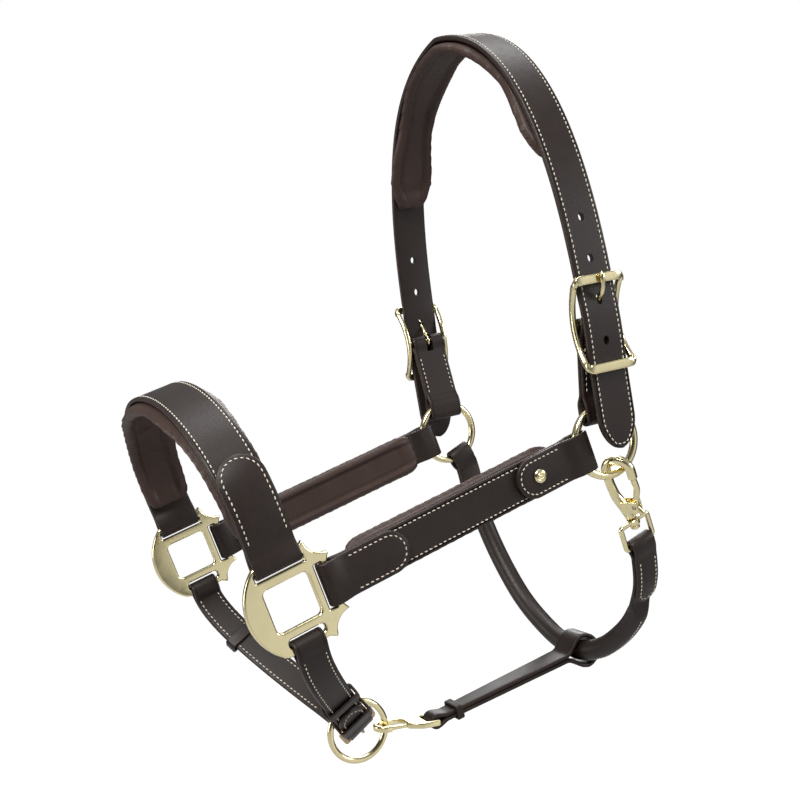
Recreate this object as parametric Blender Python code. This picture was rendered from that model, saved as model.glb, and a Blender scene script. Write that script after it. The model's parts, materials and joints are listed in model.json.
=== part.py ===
"""Leather headcollar: padded noseband, cheeks and crown on cast brass fittings.

The nose points along -X, the horse's near (left) side is -Y and +Z is up. The origin is
where the underside of the crown padding rests on the horse's poll.
"""

import math

import bmesh
import bpy
from mathutils import Matrix, Vector

MM = 0.001
GAP = 0.35 * MM

# Places of the fittings, from the poll.
HALF_SPREAD = 103 * MM
RING_X, RING_Z = 50 * MM, -258 * MM
SQUARE_X, SQUARE_Z = -155 * MM, -342 * MM
CROWN_LEAN = math.radians(11)
CHIN_LOW = Vector((-76, 0, -443)) * MM
THROAT_LOW = Vector((101, 0, -412)) * MM
CLIP_EYE = Vector((-16, 0, -449)) * MM

# Leather.
LEATHER = 2.8 * MM
LAYER_STEP = LEATHER + GAP
CHEEK_WIDTH = 25 * MM
NOSE_WIDTH = 28 * MM
CROWN_WIDTH = 27 * MM
CROWN_LEATHER = 3.6 * MM
CHAPE_LEATHER = 2.4 * MM
CHAPE_STEP = CHAPE_LEATHER + GAP
CHIN_WIDTH = 19 * MM
CHIN_LEATHER = 2.4 * MM
CHIN_STEP = CHIN_LEATHER + GAP
THROAT_WIDTH = 18 * MM
ROLL_RADIUS = 7 * MM
PAD_THICKNESS = 9 * MM
NOSE_PAD_MARGIN = 24 * MM
CROWN_PAD_FROM = 176 * MM
# (distance from the nearer end, width) of each pad; the crown's is cut back behind the ears
NOSE_PAD_WIDTHS = [(0, 32 * MM), (24 * MM, 35 * MM), (60 * MM, 36 * MM), (110 * MM, 42 * MM)]
CHEEK_PAD_WIDTHS = [(0, 32 * MM), (20 * MM, 34 * MM)]
CROWN_PAD_WIDTHS = [(0, 27 * MM), (24 * MM, 38 * MM), (68 * MM, 31 * MM), (115 * MM, 37 * MM)]
HOLE_SPACING = 25 * MM

# Brass.
RING_RADIUS = 21.9 * MM
RING_WIRE = 2.5 * MM
CHIN_RING_RADIUS = 19.6 * MM
CHIN_RING_WIRE = 2.2 * MM
SQUARE_THICKNESS = 4 * MM
WINDOW_U, WINDOW_V = 13.6 * MM, 12.8 * MM
SLOT_FROM, SLOT_TO = 18.2 * MM, 22.6 * MM
SQUARE_EDGE = 26.6 * MM
SLOT_HALF = 14.6 * MM
BUCKLE_HEIGHT = 73 * MM
BUCKLE_SPREAD = 118.5 * MM
BUCKLE_HALF_LENGTH = 27.4 * MM
BUCKLE_WIRE = 2.0 * MM
BUCKLE_BAR = 1.9 * MM
BUCKLE_HALF_WIDTH = 17 * MM
BUCKLE_OUT = 4.0 * MM
BUCKLE_BAR_IN = 6.2 * MM
PRONG_WIRE = 1.15 * MM
CHIN_BUCKLE_WIRE = 1.6 * MM
CHIN_BUCKLE_LENGTH = 24 * MM
CHIN_END_BAR = 12 * MM
SNAP_WIRE = 2.9 * MM
SNAP_HOOK = 8.2 * MM
SNAP_EYE_TOP = 37 * MM
SNAP_EYE_LOW = 53.5 * MM
SNAP_EYE_WIRE = 1.7 * MM
SNAP_TURN = math.radians(62)
CLIP_THICKNESS = 3 * MM
KEEPER_GAP = 0.7 * MM

SIDES = {"near": -1, "off": 1}


# ---------------------------------------------------------------- materials

def make_material(name, colour, roughness, metallic):
    material = bpy.data.materials.new(name)
    material.use_nodes = True
    shader = material.node_tree.nodes["Principled BSDF"]
    shader.inputs["Base Color"].default_value = (*colour, 1)
    shader.inputs["Roughness"].default_value = roughness
    shader.inputs["Metallic"].default_value = metallic
    return material


FINISHES = {
    "strap": ((0.035, 0.022, 0.018), 0.42, 0.0),
    "padding": ((0.075, 0.04, 0.03), 0.5, 0.0),
    "brass": ((0.83, 0.72, 0.42), 0.16, 1.0),
    "antique": ((0.56, 0.44, 0.24), 0.4, 1.0),
    "steel": ((0.5, 0.5, 0.48), 0.35, 1.0),
}


# ---------------------------------------------------------------- objects

def finish_object(name, bm, finish):
    """Makes one closed, outward-facing object in its own material."""
    bmesh.ops.recalc_face_normals(bm, faces=bm.faces)
    mesh = bpy.data.meshes.new(name)
    bm.to_mesh(mesh)
    bm.free()
    mesh.shade_smooth()
    mesh.set_sharp_from_angle(angle=math.radians(40))
    item = bpy.data.objects.new(name, mesh)
    bpy.context.scene.collection.objects.link(item)
    mesh.materials.append(make_material(name, *FINISHES[finish]))
    return item


def combine(item, tool, operation):
    """Cuts the tool out of the item, or joins it on, and hides the tool."""
    modifier = item.modifiers.new(operation.lower(), "BOOLEAN")
    modifier.operation = operation
    modifier.solver = "EXACT"
    modifier.object = tool
    tool.hide_render = True
    tool.display_type = "WIRE"


# ---------------------------------------------------------------- curves

def smooth_step(start, end, amount):
    return start + (end - start) * amount * amount * (3 - 2 * amount)


def bezier(p0, p1, p2, p3, steps):
    points = []
    for k in range(steps + 1):
        t = k / steps
        u = 1 - t
        points.append(p0 * u**3 + p1 * 3 * u * u * t + p2 * 3 * u * t * t + p3 * t**3)
    return points


def through_points(knots, steps):
    """A smooth curve through every knot (Catmull-Rom)."""
    padded = [2 * knots[0] - knots[1], *knots, 2 * knots[-1] - knots[-2]]
    points = []
    for k in range(1, len(padded) - 2):
        a, b, c, d = padded[k - 1:k + 3]
        for step in range(steps):
            t = step / steps
            points.append(0.5 * (2 * b + (c - a) * t + (2 * a - 5 * b + 4 * c - d) * t * t
                                 + (3 * b - a - 3 * c + d) * t**3))
    points.append(knots[-1].copy())
    return points


class Track:
    """A line that leather follows: its points, the way across it, and lengths along it."""

    def __init__(self, points, *across_keys):
        self.points = points
        self.across_keys = across_keys
        self.lengths = [0.0]
        for a, b in zip(points[:-1], points[1:]):
            self.lengths.append(self.lengths[-1] + (b - a).length)
        self.total = self.lengths[-1]

    def piece(self, s):
        for k in range(1, len(self.points) - 1):
            if s < self.lengths[k]:
                return k - 1
        return len(self.points) - 2

    def at(self, s, out=0.0):
        """The point at length s, moved out from the line, and the way across there."""
        k = self.piece(s)
        a, b = self.points[k], self.points[k + 1]
        part = (s - self.lengths[k]) / (self.lengths[k + 1] - self.lengths[k])
        tangent = self.tangent(s)
        across = self.across_at(s)
        across = (across - tangent * across.dot(tangent)).normalized()
        normal = tangent.cross(across)
        return a.lerp(b, part) + normal * out, across

    def across_at(self, s):
        """The way across, blended between keys spread evenly along the line."""
        spans = len(self.across_keys) - 1
        if not spans:
            return self.across_keys[0]
        place = min(max(s / self.total, 0), 1) * spans
        k = min(int(place), spans - 1)
        return self.across_keys[k].lerp(self.across_keys[k + 1], place - k)

    def tangent(self, s):
        k = self.piece(s)
        centre = (self.lengths[k] + self.lengths[k + 1]) / 2
        other = k + 1 if s > centre else k - 1
        here = (self.points[k + 1] - self.points[k]).normalized()
        if other < 0 or other > len(self.points) - 2:
            return here
        there = (self.points[other + 1] - self.points[other]).normalized()
        reach = abs((self.lengths[other] + self.lengths[other + 1]) / 2 - centre)
        return here.lerp(there, min(abs(s - centre) / reach, 1)).normalized()

    def find(self, value, direction):
        """The first length at which the line rises past a value along a direction."""
        for k, (a, b) in enumerate(zip(self.points[:-1], self.points[1:])):
            low, high = a.dot(direction), b.dot(direction)
            if low <= value <= high:
                return self.lengths[k] + (b - a).length * (value - low) / (high - low)
        raise ValueError("the line never passes that height")


# ---------------------------------------------------------------- swept solids

def box_section(width, thickness):
    w, t = width / 2, thickness / 2
    return [(-w, -t), (w, -t), (w, t), (-w, t)]


def round_section(width, thickness, sides=10):
    """A flat section with half-round edges, or a circle when as thick as wide."""
    r = min(width, thickness) / 2
    w, t = width / 2 - r, thickness / 2 - r
    section = []
    for k in range(sides):
        angle = 2 * math.pi * (k + 0.5) / sides
        x, z = math.cos(angle), math.sin(angle)
        section.append((x * r + math.copysign(w, x), z * r + math.copysign(t, z)))
    return section


def cushion_section(width, thickness, sides=8):
    """A pad: flat against the leather, rounded at its edges and underneath."""
    section = []
    for k in range(sides):
        angle = 2 * math.pi * (k + 0.5) / sides
        x, z = math.cos(angle), math.sin(angle)
        x = math.copysign(abs(x) ** 0.6, x)
        z = math.copysign(abs(z) ** 0.75, z)
        section.append((x * width / 2, z * thickness / 2))
    return section


def sweep(stations, closed=False):
    """Extrudes a section along stations of (point, across, section)."""
    rings = []
    count = len(stations)
    for k, (point, across, section) in enumerate(stations):
        before = stations[k - 1 if k or closed else 0][0]
        after = stations[(k + 1) % count if k < count - 1 or closed else k][0]
        tangent = (after - before).normalized()
        side = (across - tangent * across.dot(tangent)).normalized()
        normal = tangent.cross(side)
        rings.append([point + side * x + normal * z for x, z in section])
    if closed:
        rings.append([co.copy() for co in rings[0]])
    bm = bmesh.new()
    start = bm.faces.new([bm.verts.new(co) for co in rings[0]])
    face = start
    for before, after in zip(rings[:-1], rings[1:]):
        made = bmesh.ops.extrude_face_region(bm, geom=[face])["geom"]
        if face is not start:
            bmesh.ops.delete(bm, geom=[face], context="FACES_ONLY")
        face = next(part for part in made if isinstance(part, bmesh.types.BMFace))
        for vert in face.verts:
            nearest = min(range(len(before)), key=lambda i: (vert.co - before[i]).length)
            vert.co = after[nearest]
    if closed:
        bmesh.ops.delete(bm, geom=[start, face], context="FACES_ONLY")
        bmesh.ops.remove_doubles(bm, verts=bm.verts, dist=1e-6)
    return bm


def strap(name, track, route, thickness, finish="strap", section=box_section):
    """A strap along a track: the route holds (length along, distance out, width)."""
    stations = []
    for s, out, width in route:
        point, across = track.at(s, out)
        stations.append((point, across, section(width, thickness)))
    return finish_object(name, sweep(stations), finish)


def rod(name, points, radius, across, finish="brass", sides=8, closed=False):
    stations = [(point, across, round_section(2 * radius, 2 * radius, sides)) for point in points]
    return finish_object(name, sweep(stations, closed), finish)


# ---------------------------------------------------------------- routes

def spaced(start, end, step):
    """Lengths from start to end, both left out, about a step apart."""
    count = max(int(round(abs(end - start) / step)), 1)
    return [start + (end - start) * k / count for k in range(1, count)]


def rounded_tip(s_tip, sign, out, width, steps=6):
    """The half-round end of a strap, which runs from its tip towards sign."""
    r = width / 2
    route = []
    for k in range(steps + 1):
        angle = math.pi / 2 * (k + 0.35) / (steps + 0.35)
        route.append((s_tip + sign * r * (1 - math.cos(angle)), out, 2 * r * math.sin(angle)))
    return route


def pointed_tip(s_tip, sign, out, width, length):
    """The rounded point of a billet."""
    shape = [(0.0, 0.22), (0.05, 0.42), (0.16, 0.62), (0.34, 0.78), (0.6, 0.92), (1.0, 1.0)]
    return [(s_tip + sign * length * along, out, width * wide) for along, wide in shape]


def eased(s_from, s_to, out_from, out_to, width, steps=4):
    route = []
    for k in range(1, steps + 1):
        part = k / steps
        route.append((s_from + (s_to - s_from) * part, smooth_step(out_from, out_to, part), width))
    return route


def round_bar(s_bar, sign, out_bar, radius, slot, width, steps=8):
    """Round a bar, from the outer layer to the inner one; the strap lies towards sign."""
    route = []
    if slot:
        route.append((s_bar + sign * slot, out_bar + radius, width))
    for k in range(steps + 1):
        angle = math.pi * k / steps
        route.append((s_bar - sign * radius * math.sin(angle), out_bar + radius * math.cos(angle), width))
    if slot:
        route.append((s_bar + sign * slot, out_bar - radius, width))
    return route


def folded_end(s_bar, sign, radius, slot, ease, step, tongue, width):
    """A tongue on the outer layer, the fold round the bar, and the inner layer's start."""
    outer, inner = step / 2, -step / 2
    s_open = s_bar + sign * slot
    s_flat = s_open + sign * ease
    s_tip = s_bar + sign * tongue
    route = rounded_tip(s_tip, -sign, outer, width)
    route += [(s, outer, width) for s in spaced(route[-1][0], s_flat, 12 * MM)]
    route.append((s_flat, outer, width))
    route += eased(s_flat, s_open, outer, radius, width)[:-1]
    if not slot:
        route.pop()
    route += round_bar(s_bar, sign, 0, radius, slot, width)
    back = eased(s_flat, s_open, inner, -radius, width)[:-1]
    if not slot:
        back.pop()
    route += back[::-1]
    route.append((s_flat, inner, width))
    return route


def lengths_between(route_a, route_b, out, width, step):
    return [(s, out, width) for s in spaced(route_a[-1][0], route_b[0][0], step)]


# ---------------------------------------------------------------- frames

CHEEK_RUN = Vector((RING_X - SQUARE_X, 0, RING_Z - SQUARE_Z))
ALONG_CHEEK = CHEEK_RUN.normalized()
UP_NOSE = Vector((-ALONG_CHEEK.z, 0, ALONG_CHEEK.x))
UP_CROWN = Vector((-math.sin(CROWN_LEAN), 0, math.cos(CROWN_LEAN)))
ACROSS_CROWN = Vector((math.cos(CROWN_LEAN), 0, math.sin(CROWN_LEAN)))
LATERAL = Vector((0, 1, 0))
RING_MIDDLE = Vector((RING_X, 0, RING_Z))
SQUARE_MIDDLE = Vector((SQUARE_X, 0, SQUARE_Z))


def on_crown(y, height):
    return RING_MIDDLE + LATERAL * y + UP_CROWN * height


def on_nose(y, height):
    return SQUARE_MIDDLE + LATERAL * y + UP_NOSE * height


def mirrored(points):
    return [Vector((p.x, -p.y, p.z)) for p in reversed(points)]


def arch(half):
    """A whole arch from its near half, whose last point is on the middle plane."""
    return half + mirrored(half)[1:]


def crown_arch():
    hang = [on_crown(-BUCKLE_SPREAD, h * MM) for h in (-4, 30, 45, 60)]
    rise = bezier(on_crown(-BUCKLE_SPREAD, BUCKLE_HEIGHT), on_crown(-116.5 * MM, 150 * MM),
                  on_crown(-104 * MM, 262 * MM), on_crown(0, 276 * MM), 22)
    return Track(arch(hang + rise), -ACROSS_CROWN)


def nose_arch():
    half = bezier(on_nose(-HALF_SPREAD, 32 * MM), on_nose(-115 * MM, 80 * MM),
                  on_nose(-78 * MM, 125 * MM), on_nose(0, 125 * MM), 18)
    stub = on_nose(-HALF_SPREAD, 14 * MM)
    return Track(arch([stub] + half), -ALONG_CHEEK)


CROWN = crown_arch()
NOSE = nose_arch()


# ---------------------------------------------------------------- noseband

def make_noseband():
    s_bar = (SQUARE_EDGE + SLOT_TO) / 2 - 14 * MM
    radius = SQUARE_THICKNESS / 2 + 0.6 * MM + LEATHER / 2
    near = folded_end(s_bar, 1, radius, 0, 12 * MM, LAYER_STEP, 62 * MM, NOSE_WIDTH)
    off = folded_end(NOSE.total - s_bar, -1, radius, 0, 12 * MM, LAYER_STEP, 62 * MM, NOSE_WIDTH)[::-1]
    middle = lengths_between(near, off, -LAYER_STEP / 2, NOSE_WIDTH, 9 * MM)
    strap("noseband_strap", NOSE, near + middle + off, LEATHER)
    out = -LAYER_STEP / 2 - LEATHER / 2 - GAP - PAD_THICKNESS / 2
    make_pad("noseband_pad", NOSE, NOSE_PAD_MARGIN, NOSE.total - NOSE_PAD_MARGIN, out, NOSE_PAD_WIDTHS,
             9 * MM)


def pad_width(widths, s, s_from, s_to):
    """Width at a length, from (distance from the nearer end, width) pairs."""
    along = min(s - s_from, s_to - s)
    for (d0, w0), (d1, w1) in zip(widths[:-1], widths[1:]):
        if along <= d1:
            return smooth_step(w0, w1, (along - d0) / (d1 - d0))
    return widths[-1][1]


def make_pad(name, track, s_from, s_to, out, widths, step):
    """A long cushion whose ends round off and whose width changes along it."""
    ends = [(0.0, 0.5, 0.35), (0.12, 0.72, 0.62), (0.4, 0.9, 0.85), (1.0, 1.0, 1.0)]
    reach = 12 * MM
    keys = [(s_from + reach * a, w, t) for a, w, t in ends]
    keys += [(s, 1, 1) for s in spaced(s_from + reach, s_to - reach, step)]
    keys += [(s_to - reach * a, w, t) for a, w, t in reversed(ends)]
    top = out + PAD_THICKNESS / 2
    stations = []
    for s, wide, thick in keys:
        depth = PAD_THICKNESS * thick
        point, across = track.at(s, top - depth / 2)
        width = pad_width(widths, s, s_from, s_to) * wide
        stations.append((point, across, cushion_section(width, depth)))
    finish_object(name, sweep(stations), "padding")


# ---------------------------------------------------------------- cheeks

def fold_reach(width):
    """How near the ring's middle a fold of this width comes, inside the ring."""
    return math.sqrt((RING_RADIUS - RING_WIRE) ** 2 - (width / 2) ** 2) - GAP


def cheek_track(sign):
    y = sign * HALF_SPREAD
    start = Vector((SQUARE_X, y, SQUARE_Z))
    points = [start + CHEEK_RUN * k / 12 for k in range(13)]
    return Track(points, -UP_NOSE * sign)


def make_cheek(side, sign):
    track = cheek_track(sign)
    s_square = (SLOT_TO + SQUARE_EDGE) / 2
    ring_fold = RING_WIRE + GAP
    s_ring = track.total - fold_reach(CHEEK_WIDTH) - ring_fold
    front = folded_end(s_square, 1, SQUARE_THICKNESS / 2 + 0.6 * MM + LEATHER / 2, 0, 12 * MM,
                       LAYER_STEP, 50 * MM, CHEEK_WIDTH)
    rear = folded_end(s_ring, -1, ring_fold + LEATHER / 2, 5.8 * MM, 10 * MM,
                      LAYER_STEP, 52 * MM, CHEEK_WIDTH)[::-1]
    middle = lengths_between(front, rear, -LAYER_STEP / 2, CHEEK_WIDTH, 12 * MM)
    piece = strap(side + "_cheek_strap", track, front + middle + rear, LEATHER)
    out = -LAYER_STEP / 2 - LEATHER / 2 - GAP - PAD_THICKNESS / 2
    make_pad(side + "_cheek_pad", track, s_square + 15 * MM, s_ring - 18 * MM, out,
             CHEEK_PAD_WIDTHS, 14 * MM)
    make_stud(side, track, s_ring - 36 * MM, sign, piece)


def make_stud(side, track, s, sign, cheek):
    """A domed brass stud whose shank goes through both layers of the cheek."""
    outer = LAYER_STEP / 2 + LEATHER / 2
    point, across = track.at(s, 0)
    outward = Vector((0, sign, 0))
    profile = [(0, outer + 2.4 * MM), (2.4 * MM, outer + 2.1 * MM), (3.8 * MM, outer + 1.3 * MM),
               (4.4 * MM, outer + GAP), (1.4 * MM, outer + GAP),
               (1.4 * MM, -outer + 0.5 * MM), (0, -outer + 0.5 * MM)]
    finish_object(side + "_cheek_stud", turned(profile, point, outward, 12), "brass")
    hole = [(0, outer + 5 * MM), (1.4 * MM + GAP, outer + 5 * MM),
            (1.4 * MM + GAP, -outer - 1 * MM), (0, -outer - 1 * MM)]
    cutter = finish_object(side + "_stud_hole", turned(hole, point, outward, 12), "brass")
    combine(cheek, cutter, "DIFFERENCE")


def turned(profile, centre, axis, steps):
    """Turns (radius, height) points about an axis through the centre."""
    side = axis.orthogonal().normalized()
    bm = bmesh.new()
    verts = [bm.verts.new(centre + side * r + axis * h) for r, h in profile]
    edges = [bm.edges.new(pair) for pair in zip(verts[:-1], verts[1:])]
    closed_profile = profile[0][0] > 0
    if closed_profile:
        edges.append(bm.edges.new((verts[-1], verts[0])))
    bmesh.ops.spin(bm, geom=verts + edges, cent=centre, axis=axis, angle=2 * math.pi,
                   steps=steps, use_merge=True)
    bmesh.ops.remove_doubles(bm, verts=bm.verts, dist=1e-6)
    return bm


# ---------------------------------------------------------------- rings and squares

def make_torus(name, centre, axis, radius, wire, steps, sides, finish="brass"):
    profile = []
    for k in range(sides):
        angle = 2 * math.pi * k / sides
        profile.append((radius + wire * math.cos(angle), wire * math.sin(angle)))
    return finish_object(name, turned(profile, centre, axis, steps), finish)


def arc_points(centre, radius, start, end, steps):
    points = []
    for k in range(steps + 1):
        angle = math.radians(start + (end - start) * k / steps)
        points.append((centre[0] + radius * math.cos(angle), centre[1] + radius * math.sin(angle)))
    return points


def rounded_box(u0, u1, v0, v1, radius, steps=3):
    corners = [((u1 - radius, v1 - radius), 0), ((u0 + radius, v1 - radius), 90),
               ((u0 + radius, v0 + radius), 180), ((u1 - radius, v0 + radius), 270)]
    points = []
    for centre, start in corners:
        points += arc_points(centre, radius, start, start + 90, steps)
    return points


def square_outline():
    """Front bow, horned rear corners with hollows between the horns."""
    edge = SQUARE_EDGE
    tip = 29 * MM
    bow = arc_points((6 * MM, 0), 33 * MM, 128, 232, 12)
    lower = [(-11 * MM, -edge - 0.6 * MM), (13 * MM, -edge), (17 * MM, -tip)]
    hollow_low = arc_points((tip, -tip), 11.5 * MM, 172, 98, 5)
    rear = [(tip, -17 * MM), (edge, -13 * MM), (edge, 13 * MM), (tip, 17 * MM)]
    hollow_high = arc_points((tip, tip), 11.5 * MM, 262, 188, 5)
    upper = [(17 * MM, tip), (13 * MM, edge), (-11 * MM, edge + 0.6 * MM)]
    return bow + lower + hollow_low + rear + hollow_high + upper


def plate(name, outline, holes, thickness, chamfer, place, finish="brass"):
    """A flat casting: outline and holes in (u, v), thickened both ways and chamfered."""
    bm = bmesh.new()
    for loop in [outline, *holes]:
        verts = [bm.verts.new((u, v, -thickness / 2)) for u, v in loop]
        for a, b in zip(verts, verts[1:] + verts[:1]):
            bm.edges.new((a, b))
    bmesh.ops.triangle_fill(bm, edges=bm.edges, use_beauty=True)
    bmesh.ops.dissolve_limit(bm, angle_limit=0.01, verts=bm.verts, edges=bm.edges)
    bmesh.ops.triangulate(bm, faces=bm.faces)
    made = bmesh.ops.extrude_face_region(bm, geom=bm.faces[:], use_keep_orig=True)["geom"]
    lifted = [part for part in made if isinstance(part, bmesh.types.BMVert)]
    bmesh.ops.translate(bm, verts=lifted, vec=(0, 0, thickness))
    bmesh.ops.recalc_face_normals(bm, faces=bm.faces)
    rims = [edge for edge in bm.edges if edge.calc_face_angle(0) > 1.2]
    bmesh.ops.bevel(bm, geom=rims, offset=chamfer, segments=1, profile=0.5, affect="EDGES",
                    material=-1, clamp_overlap=True)
    bmesh.ops.transform(bm, matrix=place, verts=bm.verts)
    return finish_object(name, bm, finish)


def make_square(side, sign):
    window = rounded_box(-WINDOW_U, WINDOW_U, -WINDOW_V, WINDOW_V, 3 * MM)
    slots = [rounded_box(-SLOT_HALF, SLOT_HALF, SLOT_FROM, SLOT_TO, 0.4 * MM, 1),
             rounded_box(SLOT_FROM, SLOT_TO, -13.4 * MM, 13.4 * MM, 0.4 * MM, 1),
             rounded_box(-10 * MM, 12 * MM, -SLOT_TO, -SLOT_FROM + 0.4 * MM, 1.5 * MM, 2)]
    place = Matrix((ALONG_CHEEK, UP_NOSE, Vector((0, -1, 0)))).transposed().to_4x4()
    place.translation = Vector((SQUARE_X, sign * HALF_SPREAD, SQUARE_Z))
    plate(side + "_square", square_outline(), [window, *slots], SQUARE_THICKNESS, 0.9 * MM, place)


# ---------------------------------------------------------------- crown

def strap_hole(name, track, s, length, width, depth):
    """A cutter for an oval hole through a strap."""
    point, across = track.at(s)
    tangent = track.tangent(s)
    normal = tangent.cross(across)
    outline = []
    for k in range(12):
        angle = 2 * math.pi * k / 12
        outline.append((math.cos(angle) * length / 2, math.sin(angle) * width / 2))
    bm = bmesh.new()
    face = bm.faces.new([bm.verts.new(point + tangent * u + across * v - normal * depth)
                         for u, v in outline])
    made = bmesh.ops.extrude_face_region(bm, geom=[face], use_keep_orig=True)["geom"]
    lifted = [part for part in made if isinstance(part, bmesh.types.BMVert)]
    bmesh.ops.translate(bm, verts=lifted, vec=normal * 2 * depth)
    return finish_object(name, bm, "strap")


def crown_length(height, sign):
    """Length along the crown to a height above the ring, on either side."""
    s = CROWN.find(height + RING_MIDDLE.dot(UP_CROWN), UP_CROWN)
    return s if sign < 0 else CROWN.total - s


def make_crown_strap():
    width = CROWN_WIDTH
    tip = 20 * MM
    top_bar = BUCKLE_HEIGHT + BUCKLE_HALF_LENGTH
    low_bar = BUCKLE_HEIGHT - BUCKLE_HALF_LENGTH
    under = -0.25 * MM
    over = 0.6 * MM
    heights = [(low_bar - 14 * MM, under), (low_bar, under), (BUCKLE_HEIGHT - 8 * MM, over),
               (BUCKLE_HEIGHT + 6 * MM, over), (top_bar - 4 * MM, under), (top_bar + 8 * MM, under)]
    near = pointed_tip(0, 1, under, width, tip)
    near += [(crown_length(h, -1), out, width) for h, out in heights]
    off = [(CROWN.total - s, out, wide) for s, out, wide in reversed(near)]
    middle = lengths_between(near, off, under, width, 11 * MM)
    piece = strap("crown_strap", CROWN, near + middle + off, CROWN_LEATHER)
    for side, sign in SIDES.items():
        for k in range(4):
            height = BUCKLE_HEIGHT + 14 * MM + HOLE_SPACING * (k - 1)
            used = k == 1
            length = 10 * MM if used else 5.5 * MM
            hole = strap_hole("%s_hole_%d" % (side, k), CROWN, crown_length(height, sign),
                              length, 4 * MM, 8 * MM)
            combine(piece, hole, "DIFFERENCE")
    out = under - CROWN_LEATHER / 2 - GAP - PAD_THICKNESS / 2
    make_pad("crown_pad", CROWN, crown_length(CROWN_PAD_FROM, -1), crown_length(CROWN_PAD_FROM, 1),
             out, CROWN_PAD_WIDTHS, 10 * MM)


def chape_track(sign):
    """From the big ring up to the buckle's middle bar."""
    low = on_crown(sign * HALF_SPREAD, 0)
    knee = on_crown(sign * HALF_SPREAD, RING_RADIUS + RING_WIRE + 1 * MM)
    high = on_crown(sign * (BUCKLE_SPREAD - BUCKLE_BAR_IN), BUCKLE_HEIGHT)
    points = [low, knee]
    points += [knee.lerp(high, k / 8) for k in range(1, 9)]
    points.append(high + (high - knee) * 0.3)
    return Track(points, ACROSS_CROWN * sign)


def chape_route(s_low, radius_low, slot_low, s_high, radius_high, step, width,
                ease_high=9 * MM, run=60 * MM):
    """A doubled strap round two bars; its ends meet on the inner layer."""
    outer, inner = step / 2, -step / 2
    seam = (s_low + s_high) / 2
    ease = 9 * MM
    low_open = s_low + slot_low
    lower = [(s, inner, width) for s in spaced(seam - 0.3 * MM, low_open + ease, run)]
    lower.append((low_open + ease, inner, width))
    lower += eased(low_open + ease, low_open, inner, -radius_low, width)[:-1]
    if not slot_low:
        lower.pop()
    lower += round_bar(s_low, 1, 0, radius_low, slot_low, width)[::-1]
    back = eased(low_open + ease, low_open, outer, radius_low, width)[:-1]
    if not slot_low:
        back.pop()
    lower += back[::-1]
    lower.append((low_open + ease, outer, width))
    s_flat = s_high - ease_high
    outer_run = [(s, outer, width) for s in spaced(lower[-1][0], s_flat, run)][1:]
    upper = outer_run + [(s_flat, outer, width)]
    upper += eased(s_flat, s_high, outer, radius_high, width)[:-2]
    upper += round_bar(s_high, -1, 0, radius_high, 0, width)
    upper += eased(s_flat, s_high, inner, -radius_high, width)[:-2][::-1]
    upper += [(s, inner, width) for s in spaced(s_flat, seam + 0.3 * MM, run)]
    upper.append((seam + 0.3 * MM, inner, width))
    return lower + upper


def make_crown_chape(side, sign):
    track = chape_track(sign)
    radius_low = RING_WIRE + GAP + CHAPE_LEATHER / 2
    s_low = fold_reach(CROWN_WIDTH) + RING_WIRE + GAP
    s_high = track.find(on_crown(0, BUCKLE_HEIGHT).dot(UP_CROWN), UP_CROWN)
    radius_high = BUCKLE_BAR + GAP + CHAPE_LEATHER / 2
    route = chape_route(s_low, radius_low, 6 * MM, s_high, radius_high, CHAPE_STEP,
                        CROWN_WIDTH - 1 * MM)
    piece = strap(side + "_crown_chape", track, route, CHAPE_LEATHER)
    slot = box_cutter(side + "_chape_slot", on_crown(sign * 112 * MM, BUCKLE_HEIGHT + 1 * MM),
                      (ACROSS_CROWN, LATERAL, UP_CROWN), (5.4 * MM, 22 * MM, 18 * MM))
    combine(piece, slot, "DIFFERENCE")


def box_cutter(name, centre, axes, size):
    bm = bmesh.new()
    bmesh.ops.create_cube(bm, size=1)
    place = Matrix([axes[k] * size[k] for k in range(3)]).transposed().to_4x4()
    place.translation = centre
    bmesh.ops.transform(bm, matrix=place, verts=bm.verts)
    return finish_object(name, bm, "strap")


def buckle_point(sign, across, height, out):
    return on_crown(sign * (BUCKLE_SPREAD + out), BUCKLE_HEIGHT + height) + ACROSS_CROWN * across


def make_crown_buckle(side, sign):
    """A waisted frame bowed towards the head, with a middle bar."""
    half = BUCKLE_HALF_LENGTH
    wide = BUCKLE_HALF_WIDTH
    corner = 4 * MM
    right = []
    for k in range(-4, 5):
        height = (half - corner) * k / 4
        bow = (height / half) ** 2
        right.append((wide - 1.2 * MM * (1 - bow), height,
                      -BUCKLE_BAR_IN + (BUCKLE_BAR_IN + BUCKLE_OUT) * bow))
    top = []
    for k in range(1, 4):
        angle = math.pi / 2 * k / 4
        top.append((wide - corner + corner * math.cos(angle), half - corner + corner * math.sin(angle),
                    BUCKLE_OUT - 1.4 * MM * (1 - k / 4)))
    quarter = right + top
    left_top = [(-a, h, o) for a, h, o in reversed(quarter)]
    lower_right = [(a, -h, o) for a, h, o in reversed(top)]
    lower_left = [(-a, -h, o) for a, h, o in top]
    loop = lower_right + quarter + [(wide - 8 * MM, half, BUCKLE_OUT), (-wide + 8 * MM, half, BUCKLE_OUT)]
    loop += left_top[:] + lower_left
    loop += [(-wide + 8 * MM, -half, BUCKLE_OUT), (wide - 8 * MM, -half, BUCKLE_OUT)]
    points = [buckle_point(sign, *place) for place in loop]
    stations = []
    for point in points:
        stations.append((point, LATERAL, round_section(2 * BUCKLE_WIRE, 2 * BUCKLE_WIRE, 6)))
    frame = finish_object(side + "_crown_buckle", sweep(stations, True), "brass")
    reach = wide - 1.2 * MM
    ends = [buckle_point(sign, -reach, 0, -BUCKLE_BAR_IN), buckle_point(sign, reach, 0, -BUCKLE_BAR_IN)]
    bar = rod(side + "_buckle_bar", ends, BUCKLE_BAR, LATERAL)
    combine(frame, bar, "UNION")


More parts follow.
